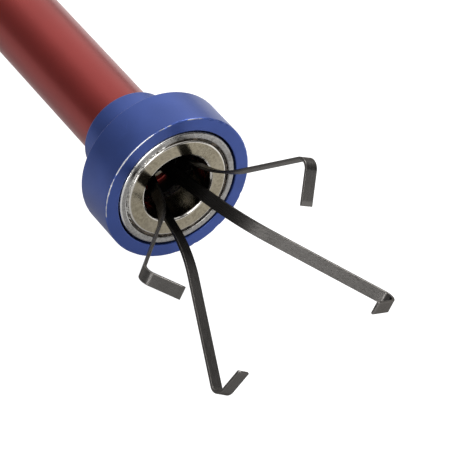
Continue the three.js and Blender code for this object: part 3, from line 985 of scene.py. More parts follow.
# ------------------------------------------------------------------ claw
def strip_line(finger):
    """The middle line of a finger as (distance from the axis, distance ahead of the head's face)."""
    claw = sizes("claw")
    bend = math.radians(finger["tip_slope"] - finger["hook"]) * claw.hook_bend
    stretches = (
        (FLARE_LENGTH, finger["root"], finger["middle"], 18),
        (BOW_LENGTH, finger["middle"], finger["tip_slope"], 20),
        (finger["tip"], finger["tip_slope"], finger["tip_slope"], 14),
        (bend, finger["tip_slope"], finger["hook"], 22),
        (finger["end"], finger["hook"], finger["hook"], 6),
    )
    here = Vector((claw.clamp_radius, -claw.bend_depth))
    line = [here]
    for length, slope_from, slope_to, steps in stretches:
        for i in range(steps):
            slope = math.radians(slope_from + (slope_to - slope_from) * (i + 0.5) / steps)
            here = here + Vector((math.sin(slope), math.cos(slope))) * (length / steps)
            line.append(here)
    corner = line[0]
    reach = 0.3 * MM
    ahead = (line[1] - corner).normalized()
    rear = Vector((claw.clamp_radius, -(node_span("finger_root_1")[1])))
    start, end = corner - Vector((0.0, reach)), corner + ahead * reach
    arc = []
    for i in range(6):
        t = i / 5
        arc.append(start * (1 - t) ** 2 + corner * (2 * t * (1 - t)) + end * t**2)
    clamped = [rear + (start - rear) * (i / 8) for i in range(8)]
    return clamped + arc + line[1:]


def strip_section(width, thickness, rounding):
    """Points (across, through the thickness, edge value) round a strip's section."""
    points = []
    support = 0.05 * MM
    half_w, half_t = width / 2, thickness / 2
    for sign_w, sign_t, first in ((1, 1, "t"), (-1, 1, "w"), (-1, -1, "t"), (1, -1, "w")):
        centre = Vector((sign_w * (half_w - rounding), sign_t * (half_t - rounding)))
        side = (Vector((sign_w * half_w, sign_t * (half_t - rounding - support))), 0.7)
        face = (Vector((sign_w * (half_w - rounding - support), sign_t * half_t)), 0.0)
        arc = []
        for i in range(4):
            angle = math.pi / 2 * i / 3
            turn = Vector((sign_w * math.cos(angle), sign_t * math.sin(angle)))
            arc.append((centre + turn * rounding, 1.0))
        corner = [side, *arc, face]
        points.extend(corner if first == "t" else reversed(corner))
    return points


def make_finger(number, finger):
    """One finger: the clamped end, the bend at the root, the strip and its hook."""
    claw = sizes("claw")
    line = strip_line(finger)
    section = strip_section(claw.strip_width, claw.strip_thickness, 0.06 * MM)
    turn = math.radians(finger["turn"])
    outwards = Vector((-math.sin(turn), 0.0, math.cos(turn)))
    forwards = Vector((0.0, -1.0, 0.0))
    across = outwards.cross(forwards)
    build = bmesh.new()
    edge_layer = build.verts.layers.float.new("edge")
    strip_map = build.loops.layers.uv.new("strip")
    lengths = [0.0]
    for a, b in zip(section, section[1:] + section[:1]):
        lengths.append(lengths[-1] + (b[0] - a[0]).length)
    around = [value / lengths[-1] for value in lengths]
    places = [(line[0], 0.04 * MM, 0.9)]
    places += [(spot, 0.0, 0.0) for spot in line]
    places += [(line[-1], 0.04 * MM, 0.9)]
    rings, run, travelled, last = [], [], 0.0, line[0]
    for i, (spot, inset, extra) in enumerate(places):
        before = places[max(i - 1, 0)][0]
        after = places[min(i + 1, len(places) - 1)][0]
        if i == 0:
            before, after = line[0], line[1]
        elif i == len(places) - 1:
            before, after = line[-2], line[-1]
        elif i == 1:
            before = line[0]
        elif i == len(places) - 2:
            after = line[-1]
        along = (after - before).normalized()
        shift = 0.0
        if i in (1, len(places) - 2):
            shift = 0.04 * MM if i == 1 else -0.04 * MM
        side = Vector((along.y, -along.x))
        spot = spot + along * shift
        travelled += (spot - last).length
        last = spot
        ring = []
        for offset, edge in section:
            scale_w = 1 - inset / (claw.strip_width / 2)
            scale_t = 1 - inset / (claw.strip_thickness / 2)
            flat = spot + side * (offset.y * scale_t)
            where = HEAD_CENTRE + outwards * flat.x + forwards * flat.y + across * (offset.x * scale_w)
            vert = build.verts.new(where)
            vert[edge_layer] = max(edge, extra)
            ring.append(vert)
        rings.append(ring)
        run.append(travelled / MM)
    count = len(section)
    for i in range(len(rings) - 1):
        for k in range(count):
            n = (k + 1) % count
            face = build.faces.new([rings[i][k], rings[i][n], rings[i + 1][n], rings[i + 1][k]])
            near, far = (around[k], around[k + 1]), (run[i], run[i + 1])
            corners = ((near[0], far[0]), (near[1], far[0]), (near[1], far[1]), (near[0], far[1]))
            for loop, value in zip(face.loops, corners):
                loop[strip_map].uv = value
    for ring, value in ((rings[0], run[0]), (rings[-1], run[-1])):
        face = build.faces.new(ring)
        for loop, share in zip(face.loops, around):
            loop[strip_map].uv = (share, value)
    mesh = mesh_from("claw_finger_" + str(number), build, 50.0)
    mesh.materials.append(bpy.data.materials["black spring steel"])
    piece = in_scene("claw_finger_" + str(number), mesh)
    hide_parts("finger_" + str(number), "finger_root_" + str(number))
    start = rod_place(claw.clamp_radius, turn, claw.bend_depth + 0.3 * MM)
    end = rod_place(claw.clamp_radius, turn, claw.bend_depth - 2.5 * MM)
    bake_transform(piece)


def make_claw_sleeve():
    """Crimped sleeve that holds the four strips on the end of the rod."""
    front, rear = node_span("claw_ferrule")
    outer = node_radius("claw_ferrule")
    inner = outer - 0.55 * MM
    middle, dip = (front + rear) / 2, 0.12 * MM
    corners = [
        (inner, front, 0.1 * MM, 0.4),
        (outer, front, 0.16 * MM, 0.8),
        (outer, middle - 1.2 * MM, 0.3 * MM, 0.2),
        (outer - dip, middle - 0.8 * MM, 0.3 * MM, 0.0),
        (outer - dip, middle + 0.8 * MM, 0.3 * MM, 0.0),
        (outer, middle + 1.2 * MM, 0.3 * MM, 0.2),
        (outer, rear, 0.16 * MM, 0.8),
        (inner, rear, 0.1 * MM, 0.4),
    ]
    mesh = turned("claw_sleeve", corners, 96)
    finish_piece("claw_sleeve", mesh, "black screw steel", PLUNGER, ["claw_ferrule"])


# ------------------------------------------------------------------ handle
def cut_from(mesh, cutters):
    """The mesh with other closed meshes cut out of it."""
    body = in_scene(mesh.name + "_uncut", mesh)
    tools = []
    for i, cutter in enumerate(cutters):
        tool = in_scene("cutter_" + str(i), cutter)
        live = body.modifiers.new("cut", "BOOLEAN")
        live.operation, live.solver, live.object = "DIFFERENCE", "EXACT", tool
        tools.append(tool)
    bpy.context.view_layer.update()
    result = bpy.data.meshes.new_from_object(body.evaluated_get(bpy.context.evaluated_depsgraph_get()))
    for item in (body, *tools):
        bpy.data.objects.remove(item)
    if len(result.polygons) <= 8:
        raise RuntimeError("cutting " + mesh.name + " left nothing")
    return result


def make_tube_nose():
    """Turned nose that clamps the tube, with two countersunk holes for its grub screws."""
    handle = sizes("handle")
    front, rear = node_span("handle_nose")
    outer = node_radius("handle_nose")
    bore = node_radius("outer_tube") + FIT
    taper_end = front + 7 * MM
    corners = [
        (bore, front, 0.15 * MM, 0.2),
        (bore + 1.2 * MM, front, 0.35 * MM, 0.9),
        (outer, taper_end, 1.6 * MM, 0.45),
        (outer, rear - 1.6 * MM, 0.15 * MM, 0.5),
        (outer - 0.35 * MM, rear - 1.45 * MM, 0.1 * MM, 0.0),
        (outer - 0.35 * MM, rear - 0.85 * MM, 0.1 * MM, 0.0),
        (outer, rear - 0.7 * MM, 0.15 * MM, 0.5),
        (outer, rear, handle.edge * 0.5, 0.7),
        (bore, rear, 0.0, 0.0),
    ]
    mesh = turned("tube_nose", corners, 192)
    screw_place = sum(node_span("nose_screw_1")) / 2
    cutters = []
    for side in (-1, 1):
        rings = ((1.6, 4.0, 0.0), (1.6, 8.15, 0.0), (2.15, 8.75, 0.0), (2.15, 10.5, 0.0))
        cutter = stud_from_rings("hole", [(r * MM, h * MM, e) for r, h, e in rings], 48, closed_below=True)
        cutter.transform(Matrix.Rotation(side * math.pi / 2, 4, "Y"))
        cutter.transform(Matrix.Translation((0.0, HEAD_FACE + screw_place, AXIS_HEIGHT)))
        cutters.append(cutter)
    nose = cut_from(mesh, cutters)
    nose.name = "tube_nose"
    nose.materials.clear()
    finish_piece("tube_nose", nose, "worn blue coating", HOUSING, ["handle_nose"])
    grub = grub_screw_mesh()
    screws = with_studs(
        "nose_screws",
        bpy.data.meshes.new("no_base"),
        grub,
        "black screw steel",
        Front=HEAD_FACE + screw_place,
        Length=0.0,
        Around=2,
        Rows=1,
        Stagger=0.0,
        Turn=math.pi / 2,
    )
    nodes = ["nose_screw_1", "nose_screw_2"]
    finish_piece("nose_screws", screws, "black screw steel", HOUSING, nodes)


def grub_screw_mesh():
    """A grub screw along +Z with a six-sided socket in its outer end."""
    tip = node_radius("outer_tube") + 0.2 * MM
    top = node_radius("nose_screw_1") + abs(sum(p.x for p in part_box("nose_screw_1")) / 2)
    outer, sides, socket = 1.5 * MM, 48, 0.87 * MM
    build = bmesh.new()
    edge_layer = build.verts.layers.float.new("edge")

    def ring(radius, height, edge, six=False):
        loop = []
        for k in range(sides):
            angle = FULL_TURN * k / sides
            reach = radius
            if six:
                local = (angle % (math.pi / 3)) - math.pi / 6
                reach = radius * math.cos(math.pi / 6) / math.cos(local)
            vert = build.verts.new((reach * math.sin(angle), reach * math.cos(angle), height))
            vert[edge_layer] = edge
            loop.append(vert)
        return loop

    loops = [ring(outer - 0.3 * MM, tip, 0.0), ring(outer, tip + 0.3 * MM, 0.0)]
    pitch = 0.5 * MM
    turns = int((top - tip - 0.8 * MM) / pitch)
    for i in range(turns):
        low = tip + 0.35 * MM + pitch * i
        loops.append(ring(outer, low, 0.4))
        loops.append(ring(outer - 0.18 * MM, low + pitch * 0.5, 0.0))
    loops.append(ring(outer, top - 0.25 * MM, 0.6))
    loops.append(ring(outer - 0.2 * MM, top, 0.9))
    loops.append(ring(socket + 0.08 * MM, top, 0.6, six=True))
    loops.append(ring(socket, top - 0.08 * MM, 0.9, six=True))
    loops.append(ring(socket, top - 1.3 * MM, 0.0, six=True))
    for first, second in zip(loops, loops[1:]):
        for k in range(sides):
            n = (k + 1) % sides
            build.faces.new([first[k], first[n], second[n], second[k]])
    build.faces.new(list(reversed(loops[0])))
    build.faces.new(loops[-1])
    return mesh_from("grub_screw", build, 30.0)


def make_barrel():
    """Turned barrel with bright-cut grooves at its ends and a waist under the grip."""
    handle = sizes("handle")
    front, rear = node_span("handle_barrel")
    outer = node_radius("handle_barrel")
    waist = node_radius("grip_sleeve") - 1.9 * MM
    waist_front, waist_rear = node_span("grip_sleeve")
    waist_front, waist_rear = waist_front - FIT, waist_rear + FIT
    flange_front = node_span("finger_flange")[0] - FIT
    boss, chamber = 7.6 * MM, 6.4 * MM
    bore, rod_bore = node_radius("outer_tube") + FIT, node_radius("push_rod") + 0.2 * MM
    chamber_front = node_span("spring_seat")[0] - FIT
    tube_rear = node_span("outer_tube")[1] + FIT

    def groove(place, depth=0.3 * MM, width=0.5 * MM):
        return [
            (outer, place - width / 2 - 0.1 * MM, 0.1 * MM, 0.6),
            (outer - depth, place - width / 2 + 0.1 * MM, 0.08 * MM, 0.0),
            (outer - depth, place + width / 2 - 0.1 * MM, 0.08 * MM, 0.0),
            (outer, place + width / 2 + 0.1 * MM, 0.1 * MM, 0.6),
        ]

    corners = [
        (bore, front, 0.1 * MM, 0.0),
        (outer - 0.9 * MM, front, 0.2 * MM, 0.5),
        (outer, front + 0.8 * MM, 0.3 * MM, 0.8),
    ]
    for place in (front + 3.0 * MM, front + 4.4 * MM):
        corners += groove(place)
    corners += [
        (outer, waist_front, handle.edge * 0.6, 0.8),
        (waist, waist_front, 0.1 * MM, 0.0),
        (waist, waist_rear, 0.1 * MM, 0.0),
        (outer, waist_rear, handle.edge * 0.6, 0.8),
    ]
    for place in (waist_rear + 3.0 * MM, waist_rear + 4.4 * MM, waist_rear + 5.8 * MM):
        corners += groove(place)
    corners += [
        (outer, flange_front, handle.edge, 0.8),
        (boss, flange_front, 0.1 * MM, 0.0),
        (boss, rear, 0.2 * MM, 0.4),
        (chamber, rear, 0.1 * MM, 0.0),
        (chamber, chamber_front, 0.1 * MM, 0.0),
        (rod_bore, chamber_front, 0.1 * MM, 0.0),
        (rod_bore, tube_rear, 0.0, 0.0),
        (bore, tube_rear, 0.0, 0.0),
    ]
    mesh = turned("handle_tube", corners, 192)
    finish_piece("handle_tube", mesh, "worn blue coating", HOUSING, ["handle_barrel"])


def make_grip():
    """Rubber sleeve with a bead at each end and rows of nubs between them."""
    handle = sizes("handle")
    front, rear = node_span("grip_sleeve")
    outer = node_radius("grip_sleeve")
    inner = outer - 1.8 * MM
    skin = outer - 0.55 * MM
    bead = 2.2 * MM
    corners = [
        (inner, front, 0.1 * MM, 0.0),
        (outer, front, 0.6 * MM, 0.3),
        (outer, front + bead, 0.5 * MM, 0.3),
        (skin, front + bead + 0.4 * MM, 0.3 * MM, 0.0),
        (skin, rear - bead - 0.4 * MM, 0.3 * MM, 0.0),
        (outer, rear - bead, 0.5 * MM, 0.3),
        (outer, rear, 0.6 * MM, 0.3),
        (inner, rear, 0.1 * MM, 0.0),
    ]
    base = turned("rubber_grip", corners, 160)
    height = outer - skin
    shape = ((1.25, -0.25), (1.12, 0.03), (1.0, 0.18), (0.93, 0.6), (0.72, 0.88), (0.36, 0.99))
    nub = stud_from_rings("nub", [(handle.nub * r, height * h, h) for r, h in shape], 16)
    mesh = with_studs(
        "rubber_grip",
        base,
        nub_at(nub, skin),
        "moulded rubber",
        Front=HEAD_FACE + front + bead + 0.9 * MM,
        Length=rear - front - 2 * bead - 1.8 * MM,
        Around=handle.nubs_round,
        Rows=handle.nub_rows,
        Stagger=0.5,
        Turn=0.0,
    )
    finish_piece("rubber_grip", mesh, "moulded rubber", HOUSING, ["grip_sleeve"])


def nub_at(stud, radius):
    """Moves a stud out along +Z, so that turning it about the axis puts it on a ring of that radius."""
    stud.transform(Matrix.Translation((0.0, 0.0, radius)))
    return stud


def knurl_tooth(height, across, along):
    """One blunt diamond tooth that points along +Z."""
    build = bmesh.new()
    edge_layer = build.verts.layers.float.new("edge")
    loops = []
    for scale, level, edge in ((1.0, -0.3, 0.0), (0.24, 0.86, 0.7), (0.10, 1.0, 1.0)):
        loop = []
        for x, y in ((1, 0), (0, 1), (-1, 0), (0, -1)):
            vert = build.verts.new((x * across * scale, y * along * scale, height * level))
            vert[edge_layer] = edge
            loop.append(vert)
        loops.append(loop)
    for first, second in zip(loops, loops[1:]):
        for k in range(4):
            build.faces.new([first[k], first[(k + 1) % 4], second[(k + 1) % 4], second[k]])
    build.faces.new(loops[-1])
    return mesh_from("tooth", build, 25.0)


def knurled(name, base, radius, front, length, material, around, rows):
    tooth = sizes("handle").tooth
    pitch_round = FULL_TURN * radius / around
    pitch_along = length / rows
    diamond = nub_at(knurl_tooth(tooth, pitch_round * 0.5, pitch_along), radius - tooth)
    return with_studs(
        name,
        base,
        diamond,
        material,
        Front=HEAD_FACE + front,
        Length=length,
        Around=around,
        Rows=rows,
        Stagger=0.5,
        Turn=0.0,
    )


def plate_outline(half_width, half_height, corner, steps=24):
    """Outline of the flange's rounded rectangle as (x, z), with its straight sides divided up."""
    points = []
    for sign_x, sign_z, start in ((1, -1, -90), (1, 1, 0), (-1, 1, 90), (-1, -1, 180)):
        centre = Vector((sign_x * (half_width - corner), sign_z * (half_height - corner)))
        for i in range(steps + 1):
            angle = math.radians(start + 90 * i / steps)
            points.append(centre + Vector((math.cos(angle), math.sin(angle))) * corner)
        here, following = points[-1], None
        if start in (-90, 90):
            following = Vector((here.x, -here.y))
        else:
            following = Vector((-here.x, here.y))
        for i in range(1, 12):
            points.append(here + (following - here) * (i / 12))
    return points


def make_flange():
    """Flat two-finger flange with rounded edges, and the hole that fits over the barrel's boss."""
    low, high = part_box("finger_flange")
    front, rear = node_span("finger_flange")
    half_width, half_height = (high[0] - low[0]) / 2, (high[2] - low[2]) / 2
    corner, rounding, hole_rounding = 9.0 * MM, 0.9 * MM, 0.3 * MM
    hole = 7.7 * MM
    outline = plate_outline(half_width, half_height, corner)
    build = bmesh.new()
    edge_layer = build.verts.layers.float.new("edge")

    def outer_ring(inset, place, edge):
        shrunk = plate_outline(half_width - inset, half_height - inset, corner - inset)
        ring = []
        for spot in shrunk:
            vert = build.verts.new((spot.x, HEAD_FACE + place, AXIS_HEIGHT + spot.y))
            vert[edge_layer] = edge
            ring.append(vert)
        return ring

    def hole_ring(radius, place, edge):
        ring = []
        for spot in outline:
            way = spot.normalized() * radius
            vert = build.verts.new((way.x, HEAD_FACE + place, AXIS_HEIGHT + way.y))
            vert[edge_layer] = edge
            ring.append(vert)
        return ring

    def arc(ring, size, corner_place, direction, at):
        """Rings round one rounded edge, from the flat face to the side."""
        made = []
        for i in range(7):
            angle = math.pi / 2 * i / 6
            inset = size * (1 - math.sin(angle))
            place = corner_place + direction * size * (1 - math.cos(angle))
            made.append(ring(at(inset), place, math.sin(math.pi * (0.15 + 0.7 * i / 6)) * 0.85))
        return made

    def keep(value):
        return value

    front_outer = [outer_ring(rounding + 0.1 * MM, front, 0.0), *arc(outer_ring, rounding, front, 1, keep)]
    rear_outer = [outer_ring(rounding + 0.1 * MM, rear, 0.0), *arc(outer_ring, rounding, rear, -1, keep)]
    front_hole = [
        hole_ring(hole + hole_rounding + 0.08 * MM, front, 0.0),
        *arc(hole_ring, hole_rounding, front, 1, lambda inset: hole + inset),
    ]
    rear_hole = [
        hole_ring(hole + hole_rounding + 0.08 * MM, rear, 0.0),
        *arc(hole_ring, hole_rounding, rear, -1, lambda inset: hole + inset),
    ]
    loops = front_outer + rear_outer[::-1] + rear_hole + front_hole[::-1]
    count = len(outline)
    for first, second in zip(loops, loops[1:] + loops[:1]):
        for k in range(count):
            n = (k + 1) % count
            build.faces.new([first[k], first[n], second[n], second[k]])
    mesh = mesh_from("flange_plate", build)
    finish_piece("flange_plate", mesh, "worn blue coating", HOUSING, ["finger_flange"])


def make_flange_nut():
    """Knurled ring that holds the flange on the barrel."""
    handle = sizes("handle")
    front, rear = node_span("flange_nut")
    outer = node_radius("flange_nut")
    bore = 7.7 * MM
    floor = outer - handle.tooth
    corners = [
        (bore, front, 0.1 * MM, 0.0),
        (floor - 0.1 * MM, front, 0.3 * MM, 0.9),
        (floor, front + 0.6 * MM, 0.1 * MM, 0.4),
        (floor, rear - 0.6 * MM, 0.1 * MM, 0.4),
        (floor - 0.1 * MM, rear, 0.3 * MM, 0.9),
        (bore, rear, 0.1 * MM, 0.0),
    ]
    base = turned("knurled_nut", corners, 160)
    length = rear - front - 1.4 * MM
    mesh = knurled("knurled_nut", base, outer, front + 0.7 * MM, length, "turned steel", 72, 5)
    finish_piece("knurled_nut", mesh, "turned steel", HOUSING, ["flange_nut"])


def make_end_cap():
    handle = sizes("handle")
    front, rear = node_span("end_cap")
    outer = node_radius("end_cap")
    bore, plug = 3.2 * MM, 6.3 * MM
    cap_front = node_span("flange_nut")[1] + FIT
    seat, seat_depth = bore + 2.0 * MM, 1.6 * MM
    corners = [
        (bore, front, 0.1 * MM, 0.0),
        (plug, front, 0.3 * MM, 0.0),
        (plug, cap_front, 0.0, 0.0),
        (outer, cap_front, 0.2 * MM, 0.5),
        (outer, rear, handle.edge * 2.0, 0.9),
        (seat, rear, 0.15 * MM, 0.7),
        (seat, rear - seat_depth, 0.1 * MM, 0.0),
        (bore, rear - seat_depth, 0.1 * MM, 0.0),
    ]
    mesh = turned("button_cap", corners, 160)
    finish_piece("button_cap", mesh, "worn blue coating", HOUSING, ["end_cap"])


def make_bumper():
    """Rubber ring that the button lands on."""
    front, rear = node_span("bumper_ring")
    half = (rear - front) / 2
    middle = node_radius("bumper_ring") - half
    build = bmesh.new()
    sides, steps = 96, 20
    rings = []
    for j in range(steps):
        angle = FULL_TURN * j / steps
        radius = middle + half * math.cos(angle)
        place = front + half + half * math.sin(angle)
        rings.append([build.verts.new(rod_place(radius, FULL_TURN * k / sides, place)) for k in range(sides)])
    for first, second in zip(rings, rings[1:] + rings[:1]):
        for k in range(sides):
            n = (k + 1) % sides
            build.faces.new([first[k], first[n], second[n], second[k]])
    mesh = mesh_from("rubber_bumper", build)
    finish_piece("rubber_bumper", mesh, "moulded rubber", HOUSING, ["bumper_ring"])


def make_button():
    """Thumb button with a knurled side and a shallow dish for the thumb."""
    handle = sizes("handle")
    front, rear = node_span("thumb_button")
    outer = node_radius("thumb_button")
    bore, bore_depth = 2.3 * MM, 5.1 * MM
    floor = outer - handle.tooth
    corners = [
        (0.0, front + bore_depth, 0.0, 0.0),
        (bore, front + bore_depth, 0.1 * MM, 0.0),
        (bore, front, 0.15 * MM, 0.2),
        (floor, front, 0.5 * MM, 0.9),
        (floor, front + 1.0 * MM, 0.1 * MM, 0.3),
        (floor, rear - 1.3 * MM, 0.1 * MM, 0.3),
        (floor - 0.3 * MM, rear, 0.9 * MM, 0.9),
        (floor - 2.4 * MM, rear - 0.22 * MM, 1.2 * MM, 0.1),
        (floor - 5.0 * MM, rear - 0.5 * MM, 1.2 * MM, 0.0),
        (0.0, rear - 0.55 * MM, 0.0, 0.0),
    ]
    base = turned("thumb_press", corners, 160, on_axis=True)
    length = rear - front - 2.6 * MM
    mesh = knurled("thumb_press", base, outer, front + 1.1 * MM, length, "satin red tube", 60, 5)
    finish_piece("thumb_press", mesh, "satin red tube", PLUNGER, ["thumb_button"])


def make_coil():
    """The return spring, from its washer to the collar on the stem."""
    front, rear = node_span("return_spring")
    wire = 0.6 * MM
    radius = node_radius("return_spring") - wire
    mesh = baked(
        "coil_spring",
        bpy.data.meshes.new("no_base"),
        build_coil_tree(),
        {
            "Radius": radius,
            "Turns": 7.0,
            "Length": rear - front - 2 * wire,
            "Wire": wire,
            "Front": HEAD_FACE + front + wire,
            "Height": AXIS_HEIGHT,
            "Material": bpy.data.materials["ground steel"],
        },
    )
    piece = in_scene("coil_spring", mesh)
    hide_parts("return_spring")
    start, end = (0.0, HEAD_FACE + front, AXIS_HEIGHT), (0.0, HEAD_FACE + rear, AXIS_HEIGHT)
    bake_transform(piece)
    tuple(start)
    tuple(end)


KEPT_NODES = {
    "push_rod": "ground steel",
    "plunger_stem": "ground steel",
    "plunger_collar": "ground steel",
    "stem_pin": "ground steel",
    "collar_screw": "black screw steel",
    "rod_guide_front": "pale nylon",
    "rod_guide_middle": "pale nylon",
    "rod_guide_rear": "pale nylon",
    "spring_seat": "washer brass",
}


def finish_kept_nodes():
    for name, material in KEPT_NODES.items():
        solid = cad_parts[name]
        solid.data.materials.clear()
        solid.data.materials.append(bpy.data.materials[material])


# ------------------------------------------------------------------ studio
FLOOR_GLOW = (0.13, 0.52)
FLOOR_HALF = 6.0
PAPER_AS_SEEN = 0.86
FRAMING_RIGHT, FRAMING_DOWN, CAMERA_DISTANCE = 5.756 * MM, 4.473 * MM, 427.9 * MM
LIGHTS = (
    ("ceiling_light", (1.0, HEAD_FACE + 0.3, 1.1), 0.7, 10.0),
    ("front_light", (-0.36, HEAD_FACE - 0.95, 0.70), 0.80, 5.0),
    ("low_left_light", (-0.92, HEAD_FACE - 0.60, 0.15), 0.26, 1.0),
)


def make_floor():
    build = bmesh.new()
    signs = ((-1, -1), (1, -1), (1, 1), (-1, 1))
    corners = [build.verts.new((x * FLOOR_HALF, y * FLOOR_HALF, 0.0)) for x, y in signs]
    build.faces.new(corners)
    mesh = mesh_from("studio_floor", build)
    floor = in_scene("studio_floor", mesh)
    material = bpy.data.materials.new("pale paper")
    material.use_nodes = True
    tree = material.node_tree
    shader = tree.nodes["Principled BSDF"]
    place = node(tree, "ShaderNodeTexCoord").outputs["Object"]
    fibre = node(tree, "ShaderNodeTexNoise", {"Vector": place, "Scale": 900.0, "Detail": 3.0})
    tint = mix_colours(tree, fibre.outputs["Fac"], (0.42, 0.42, 0.42), (0.46, 0.46, 0.46))
    feed(tree, shader.inputs["Base Color"], tint)
    shader.inputs["Roughness"].default_value = 0.9
    shader.inputs["Specular IOR Level"].default_value = 0.1
    shader.inputs["Emission Color"].default_value = (1.0, 1.0, 1.0, 1.0)
    seen = node(tree, "ShaderNodeLightPath").outputs["Is Camera Ray"]
    away = node(tree, "ShaderNodeSeparateXYZ", {0: place})
    glow = remap(tree, away.outputs["X"], -0.012, 0.030, FLOOR_GLOW[0], FLOOR_GLOW[1])
    paper = maths(tree, "MAXIMUM", product(tree, seen, PAPER_AS_SEEN), glow)
    feed(tree, shader.inputs["Emission Strength"], paper)
    mesh.materials.append(material)


def make_surround(brightness):
    """A dim room with a bright ceiling that reaches down behind the tool on its right."""
    world = bpy.data.worlds.new("soft surround")
    bpy.context.scene.world = world
    world.use_nodes = True
    tree = world.node_tree
    back = tree.nodes["Background"]
    way = node(tree, "ShaderNodeTexCoord").outputs["Generated"]
    split = node(tree, "ShaderNodeSeparateXYZ", {0: way})
    ceiling = remap(tree, split.outputs["Z"], 0.35, 0.95, 0.0, 0.62)
    behind = remap(tree, split.outputs["Y"], 0.40, 0.70)
    on_right = remap(tree, split.outputs["X"], -0.45, 0.10)
    low = remap(tree, split.outputs["Z"], 0.0, 0.30)
    wall = product(tree, product(tree, behind, on_right), low)
    shade = remap(tree, split.outputs["Y"], -0.60, -0.20, 0.09, 0.20)
    bright = maths(tree, "MULTIPLY_ADD", maths(tree, "MAXIMUM", ceiling, wall), 0.9, shade)
    seen = node(tree, "ShaderNodeLightPath").outputs["Is Camera Ray"]
    lit = maths(tree, "MAXIMUM", product(tree, bright, brightness), product(tree, seen, 0.95))
    feed(tree, back.inputs["Strength"], lit)
    back.inputs["Color"].default_value = (1.0, 0.99, 0.98, 1.0)


def add_soft_light(name, place, aim, size, power):
    data = bpy.data.lights.new(name, "AREA")
    data.shape, data.size, data.energy = "DISK", size, power
    lamp = in_scene(name, data)
    lamp.location = place
    lamp.rotation_euler = (Vector(aim) - Vector(place)).to_track_quat("-Z", "Y").to_euler()


def add_camera(studio):
    turn, rise = studio.camera_turn, studio.camera_rise
    back = Vector((math.sin(turn) * math.cos(rise), -math.cos(turn) * math.cos(rise), math.sin(rise)))
    right = Vector((math.cos(turn), math.sin(turn), 0.0))
    up = Vector((-math.sin(turn) * math.sin(rise), math.cos(turn) * math.sin(rise), math.cos(rise)))
    data = bpy.data.cameras.new("studio_camera")
    data.lens = studio.camera_lens
    data.sensor_width = 36.0
    data.clip_start, data.clip_end = 0.01, 20.0
    camera = in_scene("studio_camera", data)
    camera.location = HEAD_CENTRE + right * FRAMING_RIGHT - up * FRAMING_DOWN + back * CAMERA_DISTANCE
    camera.rotation_euler = Matrix((right, up, back)).transposed().to_euler()
    bpy.context.scene.camera = camera


def make_studio():
    studio = sizes("studio")
    make_floor()
    make_surround(studio.surround)
    for name, place, size, power in LIGHTS:
        add_soft_light(name, place, tuple(HEAD_CENTRE), size, power)
    add_camera(studio)
    bpy.context.scene.view_settings.view_transform = "Standard"


# ------------------------------------------------------------------ operators
def make_fingers():
    for number, finger in enumerate(FINGERS, 1):
        make_finger(number, finger)


class CLAW_TOOL_OT_mix_finishes(bpy.types.Operator):
    """Makes the materials"""

    bl_idname = "claw_tool.mix_finishes"
    bl_label = "Mix the finishes"

    def execute(self, context):
        build_materials()
        return {"FINISHED"}


class CLAW_TOOL_OT_add_head(bpy.types.Operator):
    """Makes the blue head"""

    bl_idname = "claw_tool.add_head"
    bl_label = "Add the head"

    def execute(self, context):
        make_head_shell()
        return {"FINISHED"}


class CLAW_TOOL_OT_add_magnet(bpy.types.Operator):
    """Makes the magnet and its pot"""

    bl_idname = "claw_tool.add_magnet"
    bl_label = "Add the magnet"

    def execute(self, context):
        make_magnet_pot()
        make_magnet_ring()
        make_groove_dirt()
        return {"FINISHED"}


class CLAW_TOOL_OT_add_tube(bpy.types.Operator):
    """Makes the red tube"""

    bl_idname = "claw_tool.add_tube"
    bl_label = "Add the tube"

    def execute(self, context):
        make_tube()
        return {"FINISHED"}


class CLAW_TOOL_OT_add_claw(bpy.types.Operator):
    """Makes the four fingers and their sleeve"""

    bl_idname = "claw_tool.add_claw"
    bl_label = "Add the claw"

    def execute(self, context):
        make_fingers()
        make_claw_sleeve()
        return {"FINISHED"}


class CLAW_TOOL_OT_add_nose(bpy.types.Operator):
    """Makes the handle's nose and screws"""

    bl_idname = "claw_tool.add_nose"
    bl_label = "Add the nose"

    def execute(self, context):
        make_tube_nose()
        return {"FINISHED"}


class CLAW_TOOL_OT_add_barrel(bpy.types.Operator):
    """Makes the barrel and its rubber grip"""

    bl_idname = "claw_tool.add_barrel"
    bl_label = "Add the barrel"

    def execute(self, context):
        make_barrel()
        make_grip()
        return {"FINISHED"}


class CLAW_TOOL_OT_add_flange(bpy.types.Operator):
    """Makes the flange and its nut"""

    bl_idname = "claw_tool.add_flange"
    bl_label = "Add the flange"

    def execute(self, context):
        make_flange()
        make_flange_nut()
        return {"FINISHED"}


class CLAW_TOOL_OT_add_cap(bpy.types.Operator):
    """Makes the end cap and bumper"""

    bl_idname = "claw_tool.add_cap"
    bl_label = "Add the cap"

    def execute(self, context):
        make_end_cap()
        make_bumper()
        return {"FINISHED"}


class CLAW_TOOL_OT_add_button(bpy.types.Operator):
    """Makes the thumb button"""

    bl_idname = "claw_tool.add_button"
    bl_label = "Add the button"

    def execute(self, context):
        make_button()
        return {"FINISHED"}


class CLAW_TOOL_OT_add_works(bpy.types.Operator):
    """Makes the spring and finishes the hidden parts"""

    bl_idname = "claw_tool.add_works"
    bl_label = "Add the works"

    def execute(self, context):
        make_coil()
        finish_kept_nodes()
        return {"FINISHED"}


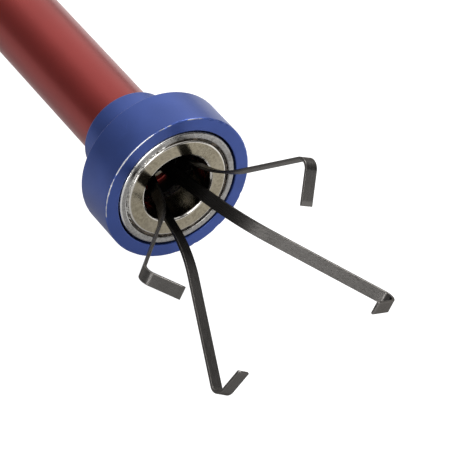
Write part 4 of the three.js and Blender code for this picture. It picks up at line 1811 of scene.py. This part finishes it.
class CLAW_TOOL_OT_add_studio(bpy.types.Operator):
    """Makes the floor, lights and camera"""

    bl_idname = "claw_tool.add_studio"
    bl_label = "Add the studio"

    def execute(self, context):
        make_studio()
        return {"FINISHED"}


OPERATORS = (
    CLAW_TOOL_OT_mix_finishes,
    CLAW_TOOL_OT_add_head,
    CLAW_TOOL_OT_add_magnet,
    CLAW_TOOL_OT_add_tube,
    CLAW_TOOL_OT_add_claw,
    CLAW_TOOL_OT_add_nose,
    CLAW_TOOL_OT_add_barrel,
    CLAW_TOOL_OT_add_flange,
    CLAW_TOOL_OT_add_cap,
    CLAW_TOOL_OT_add_button,
    CLAW_TOOL_OT_add_works,
    CLAW_TOOL_OT_add_studio,
)


class CLAW_TOOL_PT_sidebar(bpy.types.Panel):
    """Lists the pieces of the tool and their sizes"""

    bl_idname = "CLAW_TOOL_PT_sidebar"
    bl_label = "Claw Tool"
    bl_space_type = "VIEW_3D"
    bl_region_type = "UI"
    bl_category = "Claw Tool"

    def draw(self, context):
        for made in OPERATORS:
            self.layout.operator(made.bl_idname)
        for group in SETTINGS:
            values = getattr(context.scene, "claw_tool_" + group)
            box = self.layout.box()
            for name in values.__annotations__:
                box.prop(values, name)


SETTINGS = {
    "head": HeadSizes,
    "claw": ClawSizes,
    "handle": HandleSizes,
    "finishes": Finishes,
    "studio": StudioSettings,
}


def register():
    for group in SETTINGS.values():
        bpy.utils.register_class(group)
    for made in (*OPERATORS, CLAW_TOOL_PT_sidebar):
        bpy.utils.register_class(made)
    for name, group in SETTINGS.items():
        setattr(bpy.types.Scene, "claw_tool_" + name, PointerProperty(type=group))


def unregister():
    for name in SETTINGS:
        delattr(bpy.types.Scene, "claw_tool_" + name)
    for made in (CLAW_TOOL_PT_sidebar, *reversed(OPERATORS), *SETTINGS.values()):
        bpy.utils.unregister_class(made)


def main():
    register()
    for made in OPERATORS:
        step = getattr(bpy.ops.claw_tool, made.bl_idname.split(".")[1])
        if step() != {"FINISHED"}:
            raise RuntimeError(made.bl_idname + " did not finish")


if __name__ == "__main__":
    main()
